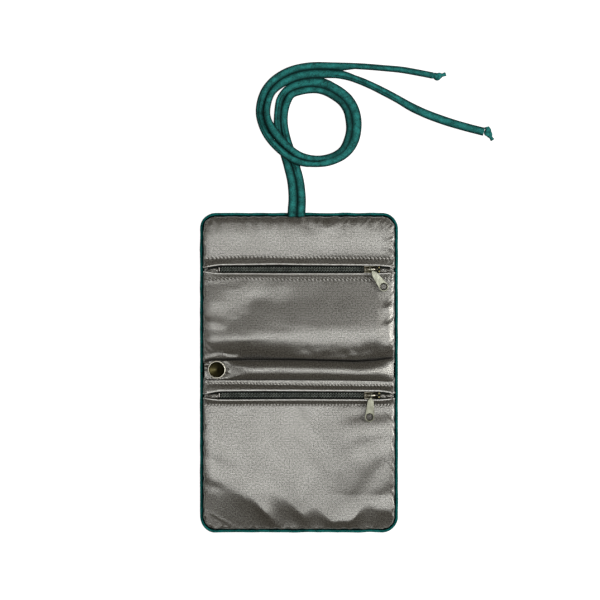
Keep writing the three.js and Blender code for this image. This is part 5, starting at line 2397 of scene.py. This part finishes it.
    def slider(self, finishes: Finishes) -> Piece:
        """Builds the slider: two plates, flanges, divider and the bridge for the pull.

        Args:
            finishes: The materials.

        Returns:
            The piece.
        """
        x = np.linspace(-self.half_slider, self.half_slider, 41)
        wide = traced(x, self.slider_width, 0.2)[:, None]
        top = np.linspace(-1, 1, 17)[None, :]
        v = np.concatenate([top, top[:, ::-1]], axis=1)
        upper = np.concatenate([np.ones_like(top), np.zeros_like(top)], axis=1)
        parts = []
        for level, crown in self.plates:
            bow = crown * (0.75 * v**2 + 0.5 * (x[:, None] / self.half_slider) ** 4)
            z = level - bow - self.plate_thickness * (1 - upper) * np.sqrt(np.clip(1 - v**8, 0, 1))
            rings = np.stack([np.broadcast_to(x[:, None], z.shape), wide * v, z], axis=-1)
            parts.append(face_outwards(skin("plate", rings), merge=DOUBLES))
        parts.append(rounded_block("divider", *self.divider, self.bent_edge))
        (back, inner, foot), (front, outer, head) = self.flange
        for way in (1, -1):
            near, far = sorted((way * inner, way * outer))
            parts.append(rounded_block("flange", (back, near, foot), (front, far, head), self.bent_edge))
        turn = np.linspace(0, math.pi, 25)
        height = self.bridge_foot + self.bridge_rise * np.sin(turn) ** 0.42
        arch = np.column_stack([-self.bridge_half * np.cos(turn), np.zeros_like(turn), height])

        def strap(along: Array, angle: Array) -> tuple[Array, Array]:
            """The oval section of the bridge."""
            shape = np.sign(np.cos(angle)) * np.abs(np.cos(angle)) ** 0.7
            across, up = self.strap_half
            return across * shape + 0 * along, up * np.sin(angle) + 0 * along

        parts.append(skin("bridge", tube_rings(arch, strap, 14)))
        body = joined(f"{self.name}_slider_body", parts)
        places = places_of(body)
        bridge = step(places[:, 2], 8.4, 9.4)
        # Painted highlight on the bridge and the left end, painted shade on the right half of the body.
        mark(body, "gloss", 0.75 * bridge + 0.45 * (1 - step(places[:, 0], -4.4, -2.9)) * (1 - bridge))
        mark(body, "hollow", 0.85 * step(places[:, 0], -0.6, 1.2) * (1 - bridge))
        body.data.transform(Matrix.Translation((self.slider_x * MM, self.place * MM, 0)))
        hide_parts(f"{self.name}_slider")
        return dress(crisp(body, 50.0), finishes.slider)

    def pull(self, finishes: Finishes) -> Piece:
        """Builds the pull: a flared plate with a hole near its round end, on a small eye.

        Args:
            finishes: The materials.

        Returns:
            The piece.
        """
        end, shoulder = self.pull_end / 2, self.pull_top / 2
        middle = end - self.pull_length
        arc = np.linspace(math.pi, 2 * math.pi, 25)
        side = [*self.neck, (shoulder, self.neck_end)]
        outline = [side[0], *((-x, y) for x, y in side)]
        outline += [(end * math.cos(a), middle + end * math.sin(a)) for a in arc]
        outline += side[:0:-1]
        hole = [(self.hole * math.cos(a), middle + self.hole * math.sin(a)) for a in around(32)]
        plate = flat_plate("plate", [outline[::-1], hole], self.pull_thickness, self.pull_round)
        countersink = turned("countersink", self.countersink, (0.0, middle), 40)
        ring, wire_half = self.eye_radius, self.eye_wire
        bow = [(ring + wire_half * math.cos(b), wire_half * math.sin(b)) for b in around(12)]
        eye = turned("eye", [(r - 0.28, h * 2.0) for r, h in bow], (0.0, 0.0), 32)
        eye.data.transform(Matrix.Rotation(math.pi / 2, 4, "Y"))
        pull = joined(f"{self.name}_pull_tab", [plate, countersink, eye])
        places = places_of(pull)
        # Painted shade round the hole.
        mark(
            pull, "hollow",
            (np.hypot(places[:, 0], places[:, 1] - middle) < 2.95) * (places[:, 2] < 0.6) * 0.9,
        )
        place = Matrix.Translation((self.slider_x * MM, self.place * MM, self.bridge_level * MM))
        yaw = Matrix.Rotation(math.radians(self.yaw), 4, "Z")
        pitch = Matrix.Rotation(-math.radians(self.pull_pitch), 4, "X")
        pull.data.transform(place @ yaw @ pitch)
        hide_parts(f"{self.name}_pull")
        return dress(crisp(pull, 50.0), finishes.pulls[self.name])


# Ring bar


@dataclass
class RingBar:
    """The padded bar for rings, with its tab and the snap that holds it down."""

    middle: float = 2.0
    tab_left: float = -71.3
    right: float = 71.4
    sections: int = 250
    sides: int = 72
    snap_x: float = -62.5
    fill: float = 0.75
    sewn_end: tuple[float, float, float] = (0.0715, 0.002, 0.007)
    free_end: tuple[float, float, float] = (0.058, 0.002, 0.007)
    cap_shift: tuple[float, float] = (0.6, 0.6)
    tab_run: tuple[float, float] = (-56.0, -44.0)
    end_run: tuple[float, float] = (58.0, 70.0)
    pleat_height: float = 0.22
    slack_height: float = 0.24
    dish_floor: float = 7.72
    dish_reach: float = 6.0
    top_edge: Knots = RING_BAR_EDGE
    low_edge: Knots = (
        (-71.3, -3.8), (-66, -4.7), (-46, -5.0), (-30, -5.3), (0, -5.5), (42, -5.9), (60, -6.3),
        (71.4, -7.6),
    )
    crest: Knots = ((-71.3, 2.4), (-45, 2.9), (-14, 2.5), (23, 1.4), (46, 0.6), (60, 1.4), (71, 2.1))
    top: Knots = (
        (-71.3, 8.8), (-56, 9.2), (-52, 9.6), (-47, 11.0), (-42, 12.1), (-36, 12.6), (48, 12.6), (56, 12.1),
        (62, 11.0), (67, 9.6), (71.4, 8.0),
    )
    widest: Knots = ((-71.3, 8.3), (-46, 8.4), (54, 8.3), (64, 7.2), (71.4, 6.0))
    under: Knots = ((-71.3, 7.75), (-52, 7.65), (-48, 6.6), (-42, 4.6), (0, 4.2), (56, 4.2), (71.4, 4.4))
    cap: Knots = (
        (0.0, 6.75), (4.6, 8.6), (6.0, 8.9), (6.5, 9.3), (6.7, 9.9), (6.68, 10.5), (6.58, 10.84),
        (6.42, 10.93), (6.02, 10.93), (5.86, 10.7), (5.72, 10.3), (5.45, 9.98), (4.4, 9.52),
        (2.5, 8.75), (1.0, 8.17), (0.3, 7.91), (0.0, 7.8),
    )
    socket: Knots = (
        (2.9, 4.85), (4.8, 4.85), (5.3, 5.1), (5.5, 5.6), (5.5, 6.9), (5.2, 7.3), (4.6, 7.4),
        (1.6, 7.4), (1.6, 7.05), (2.7, 7.05), (2.9, 6.7), (2.65, 5.9), (2.9, 5.2),
    )
    stud: Knots = (
        (1.6, 3.8), (5.3, 3.8), (5.5, 4.0), (5.45, 4.35), (5.1, 4.5), (2.6, 4.5), (2.3, 4.75),
        (2.45, 5.2), (2.6, 5.6), (2.5, 6.1), (2.2, 6.4), (1.6, 6.54), (0.0, 6.55), (0.0, 5.85),
        (1.6, 5.85),
    )
    post: Knots = ((0.0, 2.5), (5.0, 2.5), (5.2, 2.8), (5.0, 3.15), (1.3, 3.2), (1.3, 5.5), (0.0, 5.55))

    def build(self, finishes: Finishes) -> list[Piece]:
        """Builds the bar and the four pieces of the snap from the materials."""
        return [self.bar(finishes), *self.snap(finishes)]

    def tab_row(self) -> Array:
        """The middle of each stitch across the end of the tab."""
        x = np.arange(-69.0, -55.6, 2.3)
        return np.column_stack([x, np.full_like(x, -4.0), np.full_like(x, 9.05)])

    def puckers(self, x: Array, y: Array) -> Array:
        """How far the cloth of the tab is lifted round the snap.

        Args:
            x: Places across.
            y: Places along.

        Returns:
            The lift at each place.
        """
        dx, dy = x - self.snap_x - self.cap_shift[0], y - self.middle - self.cap_shift[1]
        r, turn = np.hypot(dx, dy), np.arctan2(dy, dx)
        rays = 0.30 * np.cos(7 * turn + 0.6) + 0.18 * np.cos(11 * turn + 2.0)
        ring = hump(r - 8.0, 2.2)
        return rays * ring - 0.45 * hump(r - 6.2, 1.6)

    def bar(self, finishes: Finishes) -> Piece:
        """Builds the stuffed satin bar.

        Args:
            finishes: The materials.

        Returns:
            The bar.
        """
        x = np.linspace(self.tab_left, self.right, self.sections)[:, None]
        high, low, crest = (traced(x, knots, 1.4) for knots in (self.top_edge, self.low_edge, self.crest))
        top, widest, under = (traced(x, knots, 1.2) for knots in (self.top, self.widest, self.under))
        angle = around(self.sides)[None, :]
        cos, sin = np.cos(angle), np.sin(angle)
        flat = np.maximum(1 - step(x, *self.tab_run), 0.75 * step(x, *self.end_run))
        across = np.sign(cos) * np.abs(cos) ** (1 - 0.3 * flat)
        up = np.sign(sin) * np.abs(sin) ** (1.3 - 0.8 * flat)
        y = crest + np.where(cos > 0, high - crest, crest - low) * across
        z = widest + np.where(sin > 0, top - widest, widest - under) * up
        pleat = hump(x + 46, 5.0) * np.cos(5 * angle + 0.8)
        pleat = pleat + 0.6 * hump(x - 65, 4.5) * np.cos(4 * angle - 0.5)
        slack = self.slack_height * ripple(x + 0 * angle, 9.0 * angle + 0 * x, 30.0, 31) * (1 - flat)
        z = z + (self.pleat_height * pleat + slack) * sin
        face = np.clip(sin, 0, 1) ** 0.5
        z = z + self.puckers(x, y) * face * (1 - step(x, -54, -48))
        r = np.hypot(x - self.snap_x - self.cap_shift[0], y - self.middle - self.cap_shift[1])
        sunk = np.maximum(np.maximum(self.dish_floor, 7.3 + 0.36 * r), under + 0.06)
        z = np.where((sin > 0) & (r < self.dish_reach), np.minimum(z, sunk), z)
        rings = np.stack([np.broadcast_to(x, y.shape), y, z], axis=-1)
        run = np.cumsum(np.linalg.norm(np.diff(rings, axis=1, prepend=rings[:, -1:]), axis=-1), axis=1)
        uv = np.stack([rings[..., 0], run], axis=-1) * MM
        bar = skin("ring_bar_satin", rings, uv)
        dress(bar, finishes.satin)
        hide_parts("ring_bar_cover", "ring_bar_filling")
        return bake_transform(bar)

    def snap(self, finishes: Finishes) -> list[Piece]:
        """Builds the snap: cap and socket on the tab, stud and post on the spine.

        Args:
            finishes: The materials.

        Returns:
            The four pieces.
        """
        centre = (self.snap_x, self.middle)
        above = (self.snap_x + self.cap_shift[0], self.middle + self.cap_shift[1])
        made = []
        for name, cad, profile, body in (
            ("snap_cap_dish", "snap_cap", self.cap, Body.RING_BAR),
            ("snap_socket_ring", "snap_socket", self.socket, Body.RING_BAR),
            ("snap_stud_ball", "snap_stud", self.stud, Body.SPINE),
            ("snap_post_rivet", "snap_post", self.post, Body.SPINE),
        ):
            piece = turned(name, profile, above if profile is self.cap else centre)
            if profile is self.cap:
                places = places_of(piece) - (*above, 0.0)
                out = np.hypot(places[:, 0], places[:, 1])
                # Painted highlight on the cap's rim and painted shade on its right side.
                mark(piece, "gloss", 0.7 * step(out, 5.8, 6.0) * step(places[:, 2], 10.2, 10.6))
                mark(piece, "hollow", 0.5 * step(places[:, 0], -0.8, 1.6) * (1 - step(out, 5.6, 5.9)))
            dress(crisp(piece, 55.0), finishes.brass)
            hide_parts(cad)
            made.append(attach(piece, body.value))
        return made


# The whole roll


UPPER_TOP_LIP = (
    (-72, 79.0), (-68, 79.7), (-60, 80.9), (-40, 81.1), (-16, 81.4), (2, 81.1), (40, 80.8), (61, 80.5),
    (67, 79.9), (72, 79.4),
)
UPPER_LOW_LIP = ((-72, 77.0), (-66, 76.2), (-60, 75.7), (-14, 75.5), (20, 75.5), (61, 75.6), (72, 76.2))
LOWER_TOP_LIP = (
    (-72, -16.4), (-66, -15.3), (-60, -14.2), (-30, -14.0), (0, -14.1), (61, -14.4), (72, -15.8)
)
LOWER_LOW_LIP = (
    (-72, -18.4), (-66, -19.2), (-60, -19.8), (-45, -19.7), (0, -19.5), (50, -19.7), (61, -19.7),
    (72, -18.8),
)
HEADER_ROW = (
    (-72, 85.9), (-64, 86.4), (-46, 87.3), (-28, 87.4), (-8, 86.9), (20, 86.6), (61, 86.0), (72, 85.6)
)
UPPER_POCKET_ROW = (
    (-72, 70.4), (-64, 70.8), (-46, 71.8), (-28, 71.5), (-8, 70.9), (20, 70.8), (61, 70.8), (72, 71.2)
)
STRIP_ROW = ((-72, -7.9), (-46, -7.8), (-30, -8.4), (0, -8.9), (40, -9.4), (72, -9.6))
LOWER_POCKET_ROW = ((-72, -23.4), (-60, -23.9), (0, -23.9), (61, -24.0), (72, -23.4))

HEADER_FOLDS = (
    Fold((4.5, 113.0), (9.5, 107.5), 4.2, -0.28),
    Fold((16, 106.5), (24, 110.5), 4.4, 0.22),
    Fold((71, 100.5), (66.5, 99.0), 2.2, 0.35),
    Fold((71, 94.5), (66, 95.0), 2.2, 0.3),
)
UPPER_POCKET_FOLDS = (
    Fold((-71.8, 38.0), (-60.5, 36.0), 3.2, 0.35),
    Fold((71.8, 50.5), (67.5, 49.5), 2.2, 0.4),
    Fold((71.8, 38.0), (66.5, 36.0), 2.4, 0.4),
)
LOWER_POCKET_FOLDS = (
    Fold((-62, -52.5), (-50, -55.0), 5.5, -0.32),
    Fold((-72, -63.5), (-64, -66.0), 3.6, -0.35),
    Fold((-57, -71.0), (-43, -74.0), 6.0, -0.35),
    Fold((-72, -84.0), (-61, -86.5), 3.4, -0.3),
    Fold((47, -55.5), (66, -49.5), 7.0, -0.8),
    Fold((70, -90.0), (58, -95.0), 6.0, -0.35),
    Fold((60, -73.0), (44, -95.0), 6.5, -0.5),
    Fold((41, -32.5), (50, -31.5), 4.4, -0.34),
    Fold((60, -31.5), (71, -31.0), 4.6, -0.38),
    Fold((0.4, -28.6), (1.6, -30.0), 3.0, -0.25),
    Fold((-65.0, -106.7), (-49.9, -115.8), 1.2, 0.10),
)


@dataclass
class Roll:
    """The whole jewelry roll."""

    finishes: Finishes
    panels: list[SatinPanel] = field(default_factory=list)
    stitch_length: float = 2.0
    thread_radius: float = 0.34
    slant: float = -30.0

    def ties(self) -> list[Piece]:
        """Builds both ties.

        Returns:
            The pieces.
        """
        left = Tie(
            "tie_left", LEFT_TIE_ROUTE,
            widths=(
                (0, 6.7), (0.1, 6.3), (0.17, 5.5), (0.23, 5.4), (0.27, 6.2), (0.36, 6.9), (0.42, 6.6),
                (0.47, 5.0), (0.53, 5.1), (0.6, 5.3), (0.68, 5.9), (0.76, 5.2), (0.86, 4.6), (1, 5.0),
            ),
            creases=((0.10, 0.24, 0.30, 0.55), (0.55, 0.70, -0.25, 0.6), (0.85, 0.99, -0.4, 0.25)),
            knot_turn=0.15, seed=51,
            apart=((0.155, 0.240, 1, 1.9), (0.27, 0.50, 0, 4.2)),
        )
        right = Tie(
            "tie_right", RIGHT_TIE_ROUTE,
            widths=(
                (0, 6.3), (0.1, 5.9), (0.17, 5.0), (0.23, 4.9), (0.28, 5.2), (0.34, 5.2), (0.4, 4.6),
                (0.46, 5.6), (0.55, 5.6), (0.66, 5.8), (0.76, 5.5), (0.84, 6.0), (0.9, 6.7), (1, 6.2),
            ),
            creases=((0.06, 0.18, -0.3, 0.35), (0.70, 0.86, 0.3, 0.6)),
            knot_turn=-1.1, seed=61, length=437.0,
            apart=((0.535, 0.630, 0, 2.2), (0.25, 0.45, 1, 2.6)), shaded=((0.26, 0.45, 0.5),),
        )
        return [*left.build(right, self.finishes), *right.build(left, self.finishes)]

    def pockets(self) -> list[Piece]:
        """Builds the four satin panels.

        Returns:
            The pieces.
        """
        self.panels = [
            Header(
                "header_satin", "upper_header", Body.UPPER, FAR_SEAM, UPPER_TOP_LIP, HEADER_ROW,
                lip_level=7.5, hem_lift=-0.95, stitch_pitch=2.85, rows=60, seed=100, folds=HEADER_FOLDS,
            ),
            UpperPocket(
                "upper_pocket_satin", "upper_pocket_front", Body.UPPER, 7.6, UPPER_LOW_LIP,
                UPPER_POCKET_ROW, lip_level=6.35, hem_lift=0.55, stitch_pitch=2.85, rows=80, seed=200,
                folds=UPPER_POCKET_FOLDS, slack=Slack(limit=0.05),
            ),
            Strip(
                "strip_satin", "lower_header", Body.LOWER, -3.6, LOWER_TOP_LIP, STRIP_ROW, lip_level=6.4,
                hem_lift=1.45, hem_curve=1.3, rows=8, seed=300,
            ),
            LowerPocket(
                "lower_pocket_satin", "lower_pocket_front", Body.LOWER, -FAR_SEAM, LOWER_LOW_LIP,
                LOWER_POCKET_ROW, lip_level=7.4, hem_lift=-1.0, stitch_lean=-0.9, rows=88, seed=400,
                folds=LOWER_POCKET_FOLDS, slack=Slack(limit=0.06),
            ),
        ]
        return [panel.build(self.finishes) for panel in self.panels]

    def zips(self) -> list[Piece]:
        """Builds both zips.

        Returns:
            The pieces.
        """
        coil = coil_tree()
        upper = Zip("upper_zip", UPPER_ZIP, Body.UPPER, 36.0, 71)
        lower = Zip("lower_zip", LOWER_ZIP, Body.LOWER, -4.0, 73)
        return [*upper.build(self.finishes, coil), *lower.build(self.finishes, coil)]

    def stitches(self) -> list[Piece]:
        """Lays the stitch rows, one piece for each body.

        Returns:
            The pieces.
        """
        tree = stitch_tree()
        made = []
        for body, name in ((Body.UPPER, "upper_stitches"), (Body.LOWER, "lower_stitches")):
            lines = [panel.stitch_row() for panel in self.panels if panel.body is body]
            rows = self.stitch_lines(name, lines, tree)
            made.append(fold_over(rows) if body is Body.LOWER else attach(rows, body.value))
        tab = self.stitch_lines("tab_stitches", [RingBar().tab_row()], tree)
        made.append(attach(tab, Body.RING_BAR.value))
        return made

    def stitch_lines(self, name: str, lines: Sequence[Array], tree: Tree) -> Piece:
        """Lays stitches at the points of lines.

        Args:
            name: Name of the piece.
            lines: Points of each line in millimetres.
            tree: Geometry nodes of the stitches.

        Returns:
            The stitches as one piece.
        """
        points, edges = [], []
        for row in lines:
            first = len(points)
            points += row.tolist()
            edges += [(first + i, first + i + 1) for i in range(len(row) - 1)]
        mesh = bpy.data.meshes.new(name)
        mesh.from_pydata((np.array(points) * MM).tolist(), edges, [])
        rows = linked(name, mesh)
        grown(
            rows, tree, Stitch_Length=self.stitch_length * MM, Thread_Radius=self.thread_radius * MM,
            Slant=math.radians(self.slant), Material=self.finishes.thread,
        )
        return rows


def report(pieces: Iterable[Piece]) -> None:
    """Writes one log line for each piece."""
    for piece in pieces:
        LOG.info("%s: %d faces", piece.name, len(piece.data.polygons))


def main() -> None:
    """Builds the scene in order."""
    logging.basicConfig(level=logging.INFO, format="%(name)s %(message)s")
    Studio().build()
    roll = Roll(Finishes())
    for build in (
        roll.ties, lambda: Piping().build(roll.finishes), lambda: BaseLayers().build(roll.finishes),
        roll.pockets, roll.zips, lambda: RingBar().build(roll.finishes), roll.stitches,
    ):
        report(build())


if __name__ == "__main__":
    main()
